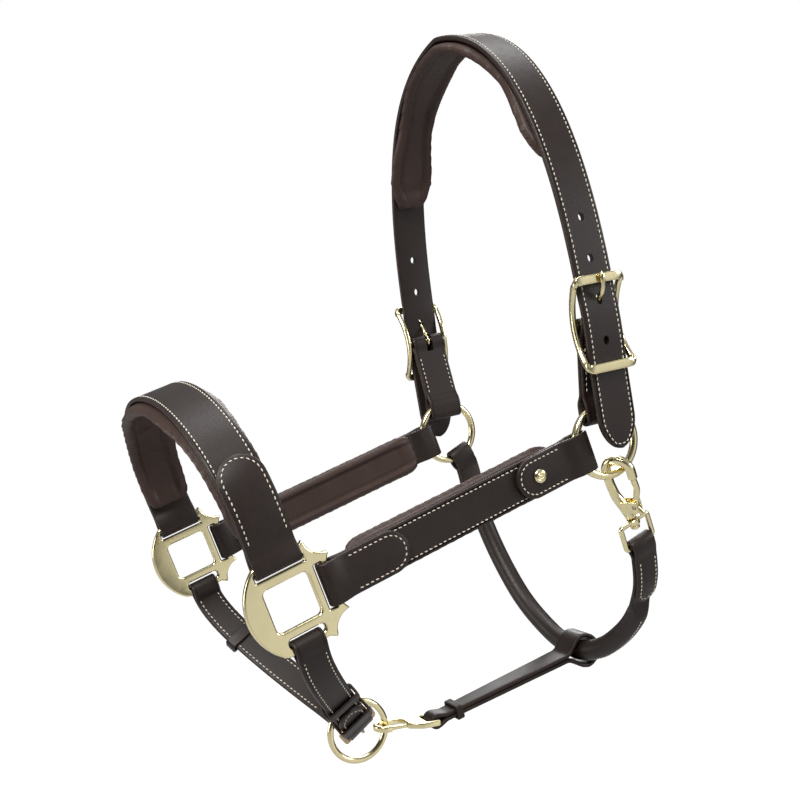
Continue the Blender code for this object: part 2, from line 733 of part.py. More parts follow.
def make_crown_prong(side, sign):
    """An eye round the middle bar and a shank through the strap and over the top bar."""
    centre = buckle_point(sign, 0, 0, -BUCKLE_BAR_IN)
    eye_radius = BUCKLE_BAR + GAP + PRONG_WIRE
    eye = make_torus(side + "_crown_prong", centre, ACROSS_CROWN, eye_radius, PRONG_WIRE, 12, 6)
    top = BUCKLE_HALF_LENGTH
    rest = BUCKLE_OUT + BUCKLE_WIRE + PRONG_WIRE + GAP
    knots = [(eye_radius - 0.4 * MM, -BUCKLE_BAR_IN), (eye_radius + 4 * MM, -BUCKLE_BAR_IN + 0.8 * MM),
             (13.5 * MM, -0.6 * MM), (19 * MM, rest - 2.2 * MM), (top - 2 * MM, rest), (top + 3 * MM, rest)]
    points = through_points([buckle_point(sign, 0, h, out) for h, out in knots], 2)
    shank = rod(side + "_prong_shank", points, PRONG_WIRE, ACROSS_CROWN, sides=6)
    combine(eye, shank, "UNION")


# ---------------------------------------------------------------- chin strap

def chin_arch():
    """From the near square's lower bar down under the chin and up to the off one."""
    bar = -(SLOT_TO + SQUARE_EDGE) / 2
    stub = [on_nose(-HALF_SPREAD, v) for v in (bar + 10 * MM, bar, bar - 4 * MM, bar - 8 * MM)]
    start = stub[-1]
    bend = start - UP_NOSE * 26 * MM + LATERAL * 9 * MM
    low = CHIN_LOW - LATERAL * 40 * MM + Vector((-6, 0, 6)) * MM
    half = stub + bezier(start, bend, low, CHIN_LOW, 16)[1:]
    across_low = Vector((0.74, 0, 0.67))
    return Track(arch(half), ALONG_CHEEK, across_low, ALONG_CHEEK)


CHIN = chin_arch()
CHIN_MIDDLE = CHIN.total / 2
CHIN_BAR = CHIN_MIDDLE - CHIN_END_BAR - CHIN_BUCKLE_LENGTH
CHIN_FOLD = CHIN_BUCKLE_WIRE + GAP + CHIN_LEATHER / 2
CHIN_TOP = CHIN_FOLD + CHIN_STEP
CHIN_BILLET = CHIN_STEP * 1.5
CHIN_RING_AT = CHIN_MIDDLE + 3 * MM


def make_chin_strap():
    """The long part: folded on the off square, under the chin, then the billet."""
    width = CHIN_WIDTH
    s_bar = 10 * MM
    radius = SQUARE_THICKNESS / 2 + 1.1 * MM + CHIN_LEATHER / 2
    off = folded_end(CHIN.total - s_bar, -1, radius, 0, 10 * MM, CHIN_STEP, 52 * MM, width)
    off_start = off[-1][0]
    end_bar = CHIN_MIDDLE - CHIN_END_BAR
    run = spaced(off_start, CHIN_MIDDLE + 26 * MM, 9 * MM)
    path = off + [(s, -CHIN_STEP / 2, width) for s in run]
    path += eased(CHIN_MIDDLE + 26 * MM, CHIN_MIDDLE + 10 * MM, -CHIN_STEP / 2, 0, width, 2)
    path += [(CHIN_MIDDLE, 0, width)]
    path += eased(CHIN_MIDDLE, end_bar, 0, 0.8 * MM, width, 2)
    path += eased(end_bar, CHIN_BAR + 4 * MM, 0.8 * MM, CHIN_TOP, width, 4)
    path += [(CHIN_BAR - 2 * MM, CHIN_TOP, width)]
    path += eased(CHIN_BAR - 2 * MM, CHIN_BAR - 12 * MM, CHIN_TOP, CHIN_BILLET, width, 3)
    path += [(s, CHIN_BILLET, width) for s in spaced(CHIN_BAR - 12 * MM, CHIN_BAR - 30 * MM, 6 * MM)]
    path += pointed_tip(CHIN_BAR - 44 * MM, 1, CHIN_BILLET, width, 14 * MM)[::-1]
    piece = strap("chin_strap", CHIN, path, CHIN_LEATHER)
    hole = strap_hole("chin_hole", CHIN, CHIN_BAR + 10 * MM, 9 * MM, 4 * MM, 12 * MM)
    combine(piece, hole, "DIFFERENCE")


def make_chin_chape():
    """The short doubled part that holds the chin buckle on the near square."""
    s_bar = 10 * MM
    radius = SQUARE_THICKNESS / 2 + 1.1 * MM + CHIN_LEATHER / 2
    route = chape_route(s_bar, radius, 0, CHIN_BAR, CHIN_FOLD, CHIN_STEP, CHIN_WIDTH, run=7 * MM)
    piece = strap("chin_chape", CHIN, route, CHIN_LEATHER)
    point, across = CHIN.at(CHIN_BAR + 1 * MM)
    tangent = CHIN.tangent(CHIN_BAR)
    slot = box_cutter("chin_chape_slot", point, (across, tangent.cross(across), tangent),
                      (4.6 * MM, 16 * MM, 16 * MM))
    combine(piece, slot, "DIFFERENCE")


def make_keeper(name, track, s, low, high, width, band=1.4 * MM, length=9 * MM):
    """A leather loop round a strap, from low to high above its line."""
    a = width / 2 + KEEPER_GAP + band / 2
    n0 = low - KEEPER_GAP - band / 2
    n1 = high + KEEPER_GAP + band / 2
    point, across = track.at(s)
    tangent = track.tangent(s)
    normal = tangent.cross(across)
    c = 0.8 * MM
    outline = [(a, n0 + c), (a, n1 - c), (a - c, n1), (-a + c, n1),
               (-a, n1 - c), (-a, n0 + c), (-a + c, n0), (a - c, n0)]
    stations = [(point + across * x + normal * n, tangent, box_section(length, band))
                for x, n in outline]
    finish_object(name, sweep(stations, True), "strap")


def make_chin_keepers():
    half = CHIN_LEATHER / 2
    doubled = CHIN_STEP / 2 + half
    make_keeper("chin_running_keeper", CHIN, CHIN_BAR - 22 * MM, -doubled,
                CHIN_BILLET + half, CHIN_WIDTH, 1.6 * MM, 12 * MM)
    make_keeper("near_chin_keeper", CHIN, CHIN_BAR - 52 * MM, -doubled, doubled, CHIN_WIDTH, 1.6 * MM, 7 * MM)
    make_keeper("off_chin_keeper", CHIN, CHIN.total - 56 * MM, -doubled, doubled, CHIN_WIDTH, 1.6 * MM,
                8 * MM)


def make_chin_buckle():
    """A rounded frame whose straight side carries the folded chape."""
    half = CHIN_WIDTH / 2 + GAP + CHIN_BUCKLE_WIRE + 0.3 * MM
    end = CHIN_MIDDLE - CHIN_END_BAR
    end_out = 1.3 * MM + CHIN_LEATHER / 2 + GAP + CHIN_BUCKLE_WIRE
    loop = [(CHIN_BAR, 0, half), (CHIN_BAR, 0, -half)]
    for part, wide in ((0.3, 1.0), (0.6, 1.0), (0.85, 0.97), (0.95, 0.85), (1.0, 0.6)):
        loop.append((CHIN_BAR + (end - CHIN_BAR) * part, end_out * min(part / 0.8, 1), -half * wide))
    loop += [(s, out, -a) for s, out, a in reversed(loop[2:])]
    stations = []
    tangent = CHIN.tangent(CHIN_BAR)
    for s, out, a in loop:
        point, across = CHIN.at(s, out)
        normal = CHIN.tangent(s).cross(across)
        stations.append((point + across * a, normal, round_section(2 * CHIN_BUCKLE_WIRE,
                                                                   2 * CHIN_BUCKLE_WIRE, 6)))
    finish_object("chin_buckle", sweep(stations, True), "antique")
    point, across = CHIN.at(CHIN_BAR)
    wire = 1 * MM
    eye_radius = CHIN_BUCKLE_WIRE + GAP + wire
    eye = make_torus("chin_prong", point, across, eye_radius, wire, 12, 6, "antique")
    rest = end_out + CHIN_BUCKLE_WIRE + GAP + wire
    length = CHIN_BUCKLE_LENGTH
    knots = [(eye_radius - 0.3 * MM, 0), (6 * MM, 1 * MM), (10.5 * MM, 4.2 * MM),
             (16 * MM, rest - 0.4 * MM), (length - 2 * MM, rest), (length + 2.6 * MM, rest)]
    points = through_points([CHIN.at(CHIN_BAR + s, out)[0] for s, out in knots], 2)
    shank = rod("chin_prong_shank", points, wire, across, "antique", 6)
    combine(eye, shank, "UNION")


def make_chin_ring():
    point, across = CHIN.at(CHIN_RING_AT)
    normal = CHIN.tangent(CHIN_RING_AT).cross(across)
    centre = point + normal * 11.5 * MM
    make_torus("chin_ring", centre, LATERAL, CHIN_RING_RADIUS, CHIN_RING_WIRE, 24, 8)
    return centre


# ---------------------------------------------------------------- throat snap and strap

SNAP_ALONG = Vector((24.4, 10, -46.5)).normalized()
SNAP_WIRE_AT = Vector((RING_X, -HALF_SPREAD, RING_Z)) + Vector((0.465, 0, -0.885)) * RING_RADIUS
EYE_ACROSS = Vector((0.88, 0, 0.47))
EYE_ACROSS = (EYE_ACROSS - SNAP_ALONG * EYE_ACROSS.dot(SNAP_ALONG)).normalized()
EYE_OUT = SNAP_ALONG.cross(EYE_ACROSS)
HOOK_ACROSS = EYE_ACROSS * math.cos(SNAP_TURN) + EYE_OUT * math.sin(SNAP_TURN)
HOOK_AXIS = SNAP_ALONG.cross(HOOK_ACROSS)


def on_snap(along, across=0.0):
    return SNAP_WIRE_AT + SNAP_ALONG * along + HOOK_ACROSS * across


def on_eye(along, across=0.0):
    return SNAP_WIRE_AT + SNAP_ALONG * along + EYE_ACROSS * across


GATE_PIVOT = (25 * MM, 4.8 * MM)


def solid_rod(low, high, radius):
    """The profile that turns into a plain round rod."""
    return [(0, low), (radius, low), (radius, high), (0, high)]


def make_snap():
    """A hook on the near ring, its sprung gate, and a square eye on a swivel."""
    r = SNAP_HOOK
    knots = [(33 * MM, 0), (27 * MM, -2.6 * MM), (18 * MM, -6.6 * MM), (7 * MM, -r)]
    spine = through_points([on_snap(*k) for k in knots], 2)
    bend = [on_snap(-r * math.sin(math.pi * k / 8), -r * math.cos(math.pi * k / 8)) for k in range(9)]
    nose = [on_snap(5 * MM, r)]
    body = rod("throat_snap_hook", spine + bend + nose, SNAP_WIRE, HOOK_AXIS)
    stem = turned([(0, 31 * MM), (1.8 * MM, 31 * MM), (1.8 * MM, 39.6 * MM), (3.1 * MM, 39.6 * MM),
                   (3.1 * MM, 42 * MM), (0, 42 * MM)], SNAP_WIRE_AT, SNAP_ALONG, 10)
    combine(body, finish_object("snap_stem", stem, "brass"), "UNION")
    lug_out = 2.1 * MM + GAP + 0.65 * MM
    for k, way in enumerate((-1, 1)):
        lug = box_cutter("snap_lug_%d" % k, on_snap(25.5 * MM, 1.6 * MM) + HOOK_AXIS * way * lug_out,
                         (SNAP_ALONG, HOOK_ACROSS, HOOK_AXIS), (8 * MM, 11 * MM, 1.3 * MM))
        combine(body, lug, "UNION")
    gate_knots = [(8.6 * MM, r), (14 * MM, r + 0.2 * MM), (25 * MM, 4.8 * MM), (31 * MM, 7.6 * MM)]
    gate = rod("throat_snap_gate", through_points([on_snap(*k) for k in gate_knots], 2), 2.0 * MM, HOOK_AXIS)
    pivot = on_snap(*GATE_PIVOT)
    for item in (body, gate):
        bore = turned(solid_rod(-6 * MM, 6 * MM, 1.35 * MM), pivot, HOOK_AXIS, 10)
        combine(item, finish_object("gate_pin_bore", bore, "brass"), "DIFFERENCE")
    pin = turned(solid_rod(-3.9 * MM, 3.9 * MM, 1.0 * MM), pivot, HOOK_AXIS, 8)
    finish_object("snap_gate_pin", pin, "steel")
    make_snap_eye()


def make_snap_eye():
    half = THROAT_WIDTH / 2 + GAP + SNAP_EYE_WIRE + 0.3 * MM
    c = 2.2 * MM
    top, low = SNAP_EYE_TOP, SNAP_EYE_LOW
    loop = [(top, half - c), (top + c, half), (low - c, half), (low, half - c),
            (low, -half + c), (low - c, -half), (top + c, -half), (top, -half + c)]
    points = [on_eye(*place) for place in loop]
    eye = rod("throat_snap_eye", points, SNAP_EYE_WIRE, EYE_OUT, closed=True)
    boss = turned(solid_rod(top - 1.9 * MM, top + 1.9 * MM, 4 * MM), SNAP_WIRE_AT, SNAP_ALONG, 12)
    combine(eye, finish_object("snap_eye_boss", boss, "brass"), "UNION")
    bore = turned(solid_rod(top - 5 * MM, top + 5 * MM, 2.15 * MM), SNAP_WIRE_AT, SNAP_ALONG, 12)
    combine(eye, finish_object("snap_eye_bore", bore, "brass"), "DIFFERENCE")


def ring_place(x, y, z):
    return Vector((RING_X, 0, RING_Z)) + Vector((x, y, z)) * MM


def throat_track():
    off_way = Vector((0.53, 0, -0.85)).normalized()
    off_ring = Vector((RING_X, HALF_SPREAD, RING_Z))
    knots = [on_eye(SNAP_EYE_LOW - 10 * MM), on_eye(SNAP_EYE_LOW), on_eye(SNAP_EYE_LOW + 10 * MM)]
    knots += [ring_place(47, -82, -97), ring_place(54, -60, -124), ring_place(55, -32, -145)]
    knots += [ring_place(51.8, -9, -153.6), ring_place(50.4, 9, -153.6)]
    knots += [ring_place(48, 32, -146), ring_place(42, 60, -126), ring_place(34, 84, -94)]
    knots += [ring_place(25, 99, -58)]
    knots += [off_ring + off_way * r * MM for r in (34, 26, 16, 6)]
    return Track(through_points(knots, 4), EYE_ACROSS, Vector((0.95, 0, 0.31)), Vector((0.85, 0, 0.53)))


THROAT = throat_track()


def make_throat_strap():
    """Flat and folded at both ends, rolled round in between."""
    width = THROAT_WIDTH
    eye_fold = SNAP_EYE_WIRE + GAP + 0.15 * MM + LEATHER / 2
    near = folded_end(10 * MM, 1, eye_fold, 0, 10 * MM, LAYER_STEP, 46 * MM, width)
    ring_fold = RING_WIRE + GAP
    s_ring = THROAT.total - (fold_reach(width) - 6 * MM) - ring_fold
    off = folded_end(s_ring, -1, ring_fold + LEATHER / 2, 4 * MM, 10 * MM, LAYER_STEP, 44 * MM, width)[::-1]
    inner = -LAYER_STEP / 2
    s_roll = 10 * MM + 46 * MM + 1.5 * MM
    s_flat = s_ring - 44 * MM - 1.5 * MM
    turn = 14 * MM
    route = [(s, out, wide, LEATHER) for s, out, wide in near]
    route += [(s, inner, width, LEATHER) for s in spaced(near[-1][0], s_roll, 12 * MM)]
    shape = [(k / 4, smooth_step(0, 1, k / 4)) for k in range(5)]
    thick = 2 * ROLL_RADIUS
    for part, grown in shape:
        route.append((s_roll + turn * part, inner * (1 - grown), width + (thick - width) * grown,
                      LEATHER + (thick - LEATHER) * grown))
    route += [(s, 0, thick, thick) for s in spaced(s_roll + turn, s_flat - turn, 9 * MM)]
    for part, grown in reversed(shape):
        route.append((s_flat - turn * part, inner * (1 - grown), width + (thick - width) * grown,
                      LEATHER + (thick - LEATHER) * grown))
    route += [(s, inner, width, LEATHER) for s in spaced(s_flat, off[0][0], 12 * MM)]
    route += [(s, out, wide, LEATHER) for s, out, wide in off]
    stations = []
    for s, out, wide, deep in route:
        point, across = THROAT.at(s, out)
        stations.append((point, across, round_section(wide, deep, 8)))
    finish_object("throat_strap", sweep(stations), "strap")


# ---------------------------------------------------------------- jaw strap and clip

def jaw_track():
    way = (THROAT_LOW - CLIP_EYE).normalized()
    run = (THROAT_LOW - CLIP_EYE).length
    places = [-10 * MM, 0, run * 0.25, run * 0.5, run * 0.75, run, run + 12 * MM]
    return Track([CLIP_EYE + way * s for s in places], LATERAL)


JAW = jaw_track()
JAW_ALONG = (THROAT_LOW - CLIP_EYE).normalized()


def make_jaw_strap():
    """A doubled strap from the clip's eye to a loop round the rolled throat strap."""
    s_eye, s_roll = 10 * MM, JAW.total - 12 * MM
    eye_fold = CLIP_THICKNESS / 2 + 0.9 * MM + LEATHER / 2
    roll_fold = ROLL_RADIUS + 2.8 * MM + LEATHER / 2
    route = chape_route(s_eye, eye_fold, 0, s_roll, roll_fold, LAYER_STEP, 1, 16 * MM)
    shaped = []
    for s, out, _ in route:
        part = min(max((s - s_eye) / (s_roll - s_eye), 0), 1)
        shaped.append((s, out, (12.4 + 8 * part) * MM))
    strap("jaw_strap", JAW, shaped, LEATHER)
    half = LAYER_STEP / 2 + LEATHER / 2
    make_keeper("jaw_keeper", JAW, s_eye + 17 * MM, -half, half, 14 * MM, 1.4 * MM, 5 * MM)


def make_chin_clip(ring_centre):
    """A flat spring snap: an open hook round the chin ring, with an eye for the strap."""
    hook = ring_centre + Vector((CHIN_RING_RADIUS, 0, 0))
    run = CLIP_EYE - hook
    shift = run.y
    run.y = 0
    along = run.normalized()
    length = run.length
    place = Matrix((along, LATERAL, along.cross(LATERAL))).transposed().to_4x4()
    place.translation = hook
    outer, inner = 8 * MM, 4.8 * MM
    eye = length + 1.8 * MM
    outline = arc_points((0, 0), outer, 270, 90, 8)
    outline += [(15 * MM, outer), (22 * MM, 9 * MM + shift), (eye, 9 * MM + shift), (eye, -9 * MM + shift),
                (22 * MM, -9 * MM + shift), (13.4 * MM, -outer), (13.4 * MM, -inner), (14 * MM, inner)]
    outline += arc_points((0, 0), inner, 90, 270, 6)
    outline += [(2 * MM, -inner), (2 * MM, -outer)]
    slot = rounded_box(length - 7.6 * MM, length - 1.8 * MM, -7 * MM + shift, 7 * MM + shift, 0.5 * MM, 1)
    plate("chin_clip", outline, [slot], CLIP_THICKNESS, 0.6 * MM, place)
    ends = [place @ Vector((2.5 * MM, -6.4 * MM, 0)), place @ Vector((12.9 * MM, -6.4 * MM, 0))]
    rod("chin_clip_gate", ends, 1.25 * MM, place.to_3x3() @ Vector((0, 0, 1)))


# ---------------------------------------------------------------- build

def main():
    for item in list(bpy.data.objects):
        bpy.data.objects.remove(item)
    make_noseband()
    make_crown_strap()
    for side, sign in SIDES.items():
        make_cheek(side, sign)
        make_square(side, sign)
        make_torus(side + "_ring", Vector((RING_X, sign * HALF_SPREAD, RING_Z)), LATERAL,
                   RING_RADIUS, RING_WIRE, 24, 8)
        make_crown_chape(side, sign)
        make_crown_buckle(side, sign)
        make_crown_prong(side, sign)
    make_chin_strap()
    make_chin_chape()
    make_chin_keepers()
    make_chin_buckle()
    make_chin_clip(make_chin_ring())
    make_snap()
    make_throat_strap()
    make_jaw_strap()


main()
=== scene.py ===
import json
import math

import bmesh
import bpy
import numpy
from mathutils import Matrix, Vector, noise


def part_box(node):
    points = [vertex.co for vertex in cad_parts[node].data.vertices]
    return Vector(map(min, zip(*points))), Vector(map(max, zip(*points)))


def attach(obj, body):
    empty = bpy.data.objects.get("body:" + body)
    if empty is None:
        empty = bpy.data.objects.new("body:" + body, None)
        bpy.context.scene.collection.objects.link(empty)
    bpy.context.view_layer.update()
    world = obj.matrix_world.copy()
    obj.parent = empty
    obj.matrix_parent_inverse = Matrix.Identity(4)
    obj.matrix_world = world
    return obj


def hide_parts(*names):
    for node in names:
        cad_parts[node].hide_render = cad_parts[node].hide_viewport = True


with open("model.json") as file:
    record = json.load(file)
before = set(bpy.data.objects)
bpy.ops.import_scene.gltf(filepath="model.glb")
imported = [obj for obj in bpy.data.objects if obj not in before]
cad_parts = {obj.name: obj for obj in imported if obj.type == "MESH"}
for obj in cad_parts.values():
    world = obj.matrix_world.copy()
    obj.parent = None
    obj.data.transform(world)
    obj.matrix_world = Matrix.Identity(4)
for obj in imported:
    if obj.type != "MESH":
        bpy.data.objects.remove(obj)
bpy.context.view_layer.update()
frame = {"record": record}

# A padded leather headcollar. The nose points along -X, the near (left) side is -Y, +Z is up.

bl_info = {
    "name": "Leather headcollar",
    "version": (1, 0, 0),
    "blender": (4, 5, 0),
    "location": "View3D > Sidebar > Headcollar",
    "description": "Builds the leather, stitching, padding and brass of a headcollar round its frame",
    "category": "Add Mesh",
}

MM = 0.001
GAP = 0.35 * MM

# ---------------------------------------------------------------- places, from the frame

RECORD = frame["record"]
BEHAVIOUR = RECORD["behaviour"]
JOINTS = {joint["name"]: joint for joint in BEHAVIOUR["joints"]}
BODY_OF = {node: body for body, nodes in BEHAVIOUR["bodies"].items() for node in nodes}
WINDOW_BOX = next(opening["box_m"] for opening in RECORD["physics"]["openings"]
                  if opening["name"] == "near_square_window")
SIDES = {"near": -1, "off": 1}
LATERAL = Vector((0, 1, 0))


def joint_place(name):
    return Vector(JOINTS[name]["pos_m"])


def joint_axis(name):
    return Vector(JOINTS[name]["axis"]).normalized()


def middle_of(node):
    low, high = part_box(node)
    return (Vector(low) + Vector(high)) / 2


RING_MIDDLE = joint_place("crown_swing")
HALF_SPREAD = joint_place("off_ring_turn").y
SQUARE_MIDDLE = (Vector(WINDOW_BOX[0]) + Vector(WINDOW_BOX[1])) / 2
SQUARE_MIDDLE.y = 0
CHEEK_RUN = RING_MIDDLE - SQUARE_MIDDLE
ALONG_CHEEK = CHEEK_RUN.normalized()
UP_NOSE = Vector((-ALONG_CHEEK.z, 0, ALONG_CHEEK.x))
ACROSS_CROWN = joint_axis("near_prong_lift")
UP_CROWN = Vector((-ACROSS_CROWN.z, 0, ACROSS_CROWN.x))
BUCKLE_BAR_AT = joint_place("off_prong_lift")
BUCKLE_HEIGHT = (BUCKLE_BAR_AT - RING_MIDDLE).dot(UP_CROWN)
THROAT_LOW = joint_place("jaw_swing")
SNAP_WIRE_AT = joint_place("snap_swivel")
SNAP_ALONG = joint_axis("snap_swivel")
GATE_AT = joint_place("snap_gate_press")
HOOK_AXIS = joint_axis("snap_gate_press")
HOOK_ACROSS = HOOK_AXIS.cross(SNAP_ALONG)
CLIP_GATE_AT = joint_place("clip_gate_press")
CLIP_UP = joint_axis("clip_gate_press")
CHIN_RING_CENTRE = middle_of("chin_ring")

# ---------------------------------------------------------------- fixed sizes of the pattern

LEATHER = 2.8 * MM
LAYER_STEP = LEATHER + GAP
CROWN_LEATHER = 3.6 * MM
CHAPE_LEATHER = 2.4 * MM
CHAPE_STEP = CHAPE_LEATHER + GAP
CHIN_LEATHER = 2.4 * MM
CHIN_STEP = CHIN_LEATHER + GAP
ROLL_RADIUS = 7 * MM
RING_RADIUS, RING_WIRE = 21.9 * MM, 2.5 * MM
CHIN_RING_RADIUS, CHIN_RING_WIRE = 19.6 * MM, 2.2 * MM
SQUARE_THICKNESS = 4 * MM
WINDOW_U, WINDOW_V = 13.6 * MM, 12.8 * MM
SLOT_FROM, SLOT_TO = 18.2 * MM, 22.6 * MM
SLOT_HALF = 14.6 * MM
SQUARE_EDGE = 26.6 * MM
BUCKLE_BAR_IN = 6.2 * MM
BUCKLE_SPREAD = BUCKLE_BAR_AT.y + BUCKLE_BAR_IN
BUCKLE_HALF_LENGTH = 27.4 * MM
BUCKLE_HALF_WIDTH = 17 * MM
BUCKLE_WIRE, BUCKLE_BAR = 2.0 * MM, 1.9 * MM
BUCKLE_OUT = 4.0 * MM
PRONG_WIRE = 1.15 * MM
CROWN_PAD_FROM = 176 * MM
NOSE_PAD_WIDTHS = [(0, 32 * MM), (24 * MM, 35 * MM), (60 * MM, 36 * MM), (110 * MM, 42 * MM)]
CHEEK_PAD_WIDTHS = [(0, 32 * MM), (20 * MM, 34 * MM)]
CROWN_PAD_WIDTHS = [(0, 27 * MM), (24 * MM, 38 * MM), (68 * MM, 31 * MM), (115 * MM, 37 * MM)]
HOLE_SPACING = 25 * MM
CHIN_LOW = Vector((-76, 0, -443)) * MM
CHIN_BUCKLE_WIRE = 1.6 * MM
CHIN_BUCKLE_LENGTH = 24 * MM
CHIN_END_BAR = 12 * MM
SNAP_WIRE, SNAP_HOOK = 2.9 * MM, 8.2 * MM
SNAP_EYE_TOP, SNAP_EYE_LOW, SNAP_EYE_WIRE = 37 * MM, 53.5 * MM, 1.7 * MM
CLIP_THICKNESS = 3 * MM
CLIP_EYE = Vector((-16, 0, -449)) * MM
KEEPER_GAP = 0.7 * MM
STEP = 3 * MM
SIM_FRAMES = 20
PAD_SLACK = 0.5 * MM
PAD_VOXEL = 2.2 * MM
PAD_SWELL = 1.1 * MM
CALM_FACTOR, CALM_STEPS = 0.6, 14
PAD_PRESSURE = 4
SCREEN_WAY = (0.47, -0.88, 0.06)


# ---------------------------------------------------------------- settings

class HeadcollarSizes(bpy.types.PropertyGroup):
    """Sizes that a saddler would choose."""

    cheek_width: bpy.props.FloatProperty(
        name="Cheek width", description="Width of the cheek straps", default=25 * MM, unit="LENGTH")
    nose_width: bpy.props.FloatProperty(
        name="Noseband width", description="Width of the noseband strap", default=28 * MM, unit="LENGTH")
    crown_width: bpy.props.FloatProperty(
        name="Crown width", description="Width of the crown strap", default=27 * MM, unit="LENGTH")
    chin_width: bpy.props.FloatProperty(
        name="Chin width", description="Width of the chin strap", default=19 * MM, unit="LENGTH")
    throat_width: bpy.props.FloatProperty(
        name="Throat width", description="Width of the throat strap's flat ends",
        default=18 * MM, unit="LENGTH")
    pad_thickness: bpy.props.FloatProperty(
        name="Padding", description="Thickness of the padding", default=9 * MM, unit="LENGTH")
    stitch_pitch: bpy.props.FloatProperty(
        name="Stitch pitch", description="Distance from one stitch to the next",
        default=3.2 * MM, unit="LENGTH")
    thread: bpy.props.FloatProperty(
        name="Thread", description="Thickness of the waxed thread", default=0.8 * MM, unit="LENGTH")
    stitch_inset: bpy.props.FloatProperty(
        name="Stitch inset", description="Distance from a strap's edge to its stitches",
        default=2.7 * MM, unit="LENGTH")


class HeadcollarColours(bpy.types.PropertyGroup):
    """Colours of the leather, the thread and the fittings."""

    leather: bpy.props.FloatVectorProperty(
        name="Leather", description="Strap leather", default=(0.0135, 0.0082, 0.0068), subtype="COLOR")
    padding: bpy.props.FloatVectorProperty(
        name="Padding", description="Softer leather over the padding", default=(0.034, 0.0175, 0.0130),
        subtype="COLOR")
    thread: bpy.props.FloatVectorProperty(
        name="Thread", description="Waxed thread", default=(0.72, 0.66, 0.55), subtype="COLOR")
    brass: bpy.props.FloatVectorProperty(
        name="Brass", description="Polished brass", default=(0.86, 0.765, 0.46), subtype="COLOR")
    antique: bpy.props.FloatVectorProperty(
        name="Antique brass", description="Dull brass of the chin buckle", default=(0.52, 0.39, 0.23),
        subtype="COLOR")


def sizes():
    return bpy.context.scene.headcollar_sizes


def colours():
    return bpy.context.scene.headcollar_colours


# ---------------------------------------------------------------- shader groups

def new_group(name, inputs, outputs):
    """A shader group with its input and output nodes; sockets are (name, type, default)."""
    tree = bpy.data.node_groups.new(name, "ShaderNodeTree")
    for label, kind, default in inputs:
        socket = tree.interface.new_socket(name=label, in_out="INPUT", socket_type=kind)
        if default is not None:
            socket.default_value = default
    for label, kind in outputs:
        tree.interface.new_socket(name=label, in_out="OUTPUT", socket_type=kind)
    return tree, tree.nodes.new("NodeGroupInput"), tree.nodes.new("NodeGroupOutput")


def node(tree, kind, inputs=None, **settings):
    """A node with its settings; each input is a value or another node's output socket."""
    made = tree.nodes.new(kind)
    for key, value in settings.items():
        setattr(made, key, value)
    for key, value in (inputs or {}).items():
        if isinstance(value, bpy.types.NodeSocket):
            tree.links.new(value, made.inputs[key])
        else:
            made.inputs[key].default_value = value
    return made


def math_node(tree, operation, first, second=0.0, clamp=False):
    return node(tree, "ShaderNodeMath", {0: first, 1: second}, operation=operation,
                use_clamp=clamp).outputs[0]


def blend_colour(tree, amount, first, second):
    made = node(tree, "ShaderNodeMix", data_type="RGBA")
    for key, value in ((0, amount), (6, first), (7, second)):
        if isinstance(value, bpy.types.NodeSocket):
            tree.links.new(value, made.inputs[key])
        else:
            made.inputs[key].default_value = value
    return made.outputs[2]


def noise_at(tree, vector, scale, detail=3.0, roughness=0.5):
    return node(tree, "ShaderNodeTexNoise", {"Vector": vector, "Scale": scale, "Detail": detail,
                                             "Roughness": roughness}).outputs[0]


def leather_grain_group():
    """Pores and soft creases of leather: a tone, a height and a change of roughness."""
    tree, start, end = new_group(
        "Leather Grain",
        [("Vector", "NodeSocketVector", None), ("Pore Size", "NodeSocketFloat", 1.0),
         ("Crease", "NodeSocketFloat", 0.4)],
        [("Tone", "NodeSocketFloat"), ("Height", "NodeSocketFloat"), ("Dullness", "NodeSocketFloat")])
    vector = node(tree, "ShaderNodeVectorMath", {0: start.outputs["Vector"]}, operation="SCALE")
    tree.links.new(math_node(tree, "DIVIDE", 1.0, start.outputs["Pore Size"]), vector.inputs["Scale"])
    pores = node(tree, "ShaderNodeTexVoronoi", {"Vector": vector.outputs[0], "Scale": 1500.0,
                                                "Randomness": 1.0}, feature="SMOOTH_F1").outputs[0]
    creases = noise_at(tree, vector.outputs[0], 260.0, 5.0, 0.6)
    clouds = noise_at(tree, start.outputs["Vector"], 22.0, 3.0, 0.55)
    patches = noise_at(tree, start.outputs["Vector"], 75.0, 4.0, 0.6)
    tone = math_node(tree, "ADD", math_node(tree, "MULTIPLY", clouds, 0.65),
                     math_node(tree, "MULTIPLY", patches, 0.35))
    height = math_node(tree, "ADD", math_node(tree, "MULTIPLY", pores, 0.5),
                       math_node(tree, "MULTIPLY", creases, start.outputs["Crease"]))
    tree.links.new(tone, end.inputs["Tone"])
    tree.links.new(height, end.inputs["Height"])
    tree.links.new(math_node(tree, "MULTIPLY", patches, pores), end.inputs["Dullness"])
    return tree


def worn_edge_group():
    """Where an edge has been rubbed: the edge mask broken up by noise."""
    tree, start, end = new_group(
        "Worn Edge",
        [("Edge", "NodeSocketFloat", 0.0), ("Vector", "NodeSocketVector", None),
         ("Wear", "NodeSocketFloat", 0.5)],
        [("Mask", "NodeSocketFloat")])
    rub = noise_at(tree, start.outputs["Vector"], 130.0, 4.0, 0.6)
    rub = math_node(tree, "MULTIPLY", math_node(tree, "SUBTRACT", rub, 0.3), 2.2, True)
    edge = math_node(tree, "POWER", start.outputs["Edge"], 1.6)
    mask = math_node(tree, "MULTIPLY", math_node(tree, "MULTIPLY", edge, rub), start.outputs["Wear"], True)
    tree.links.new(mask, end.inputs["Mask"])
    return tree


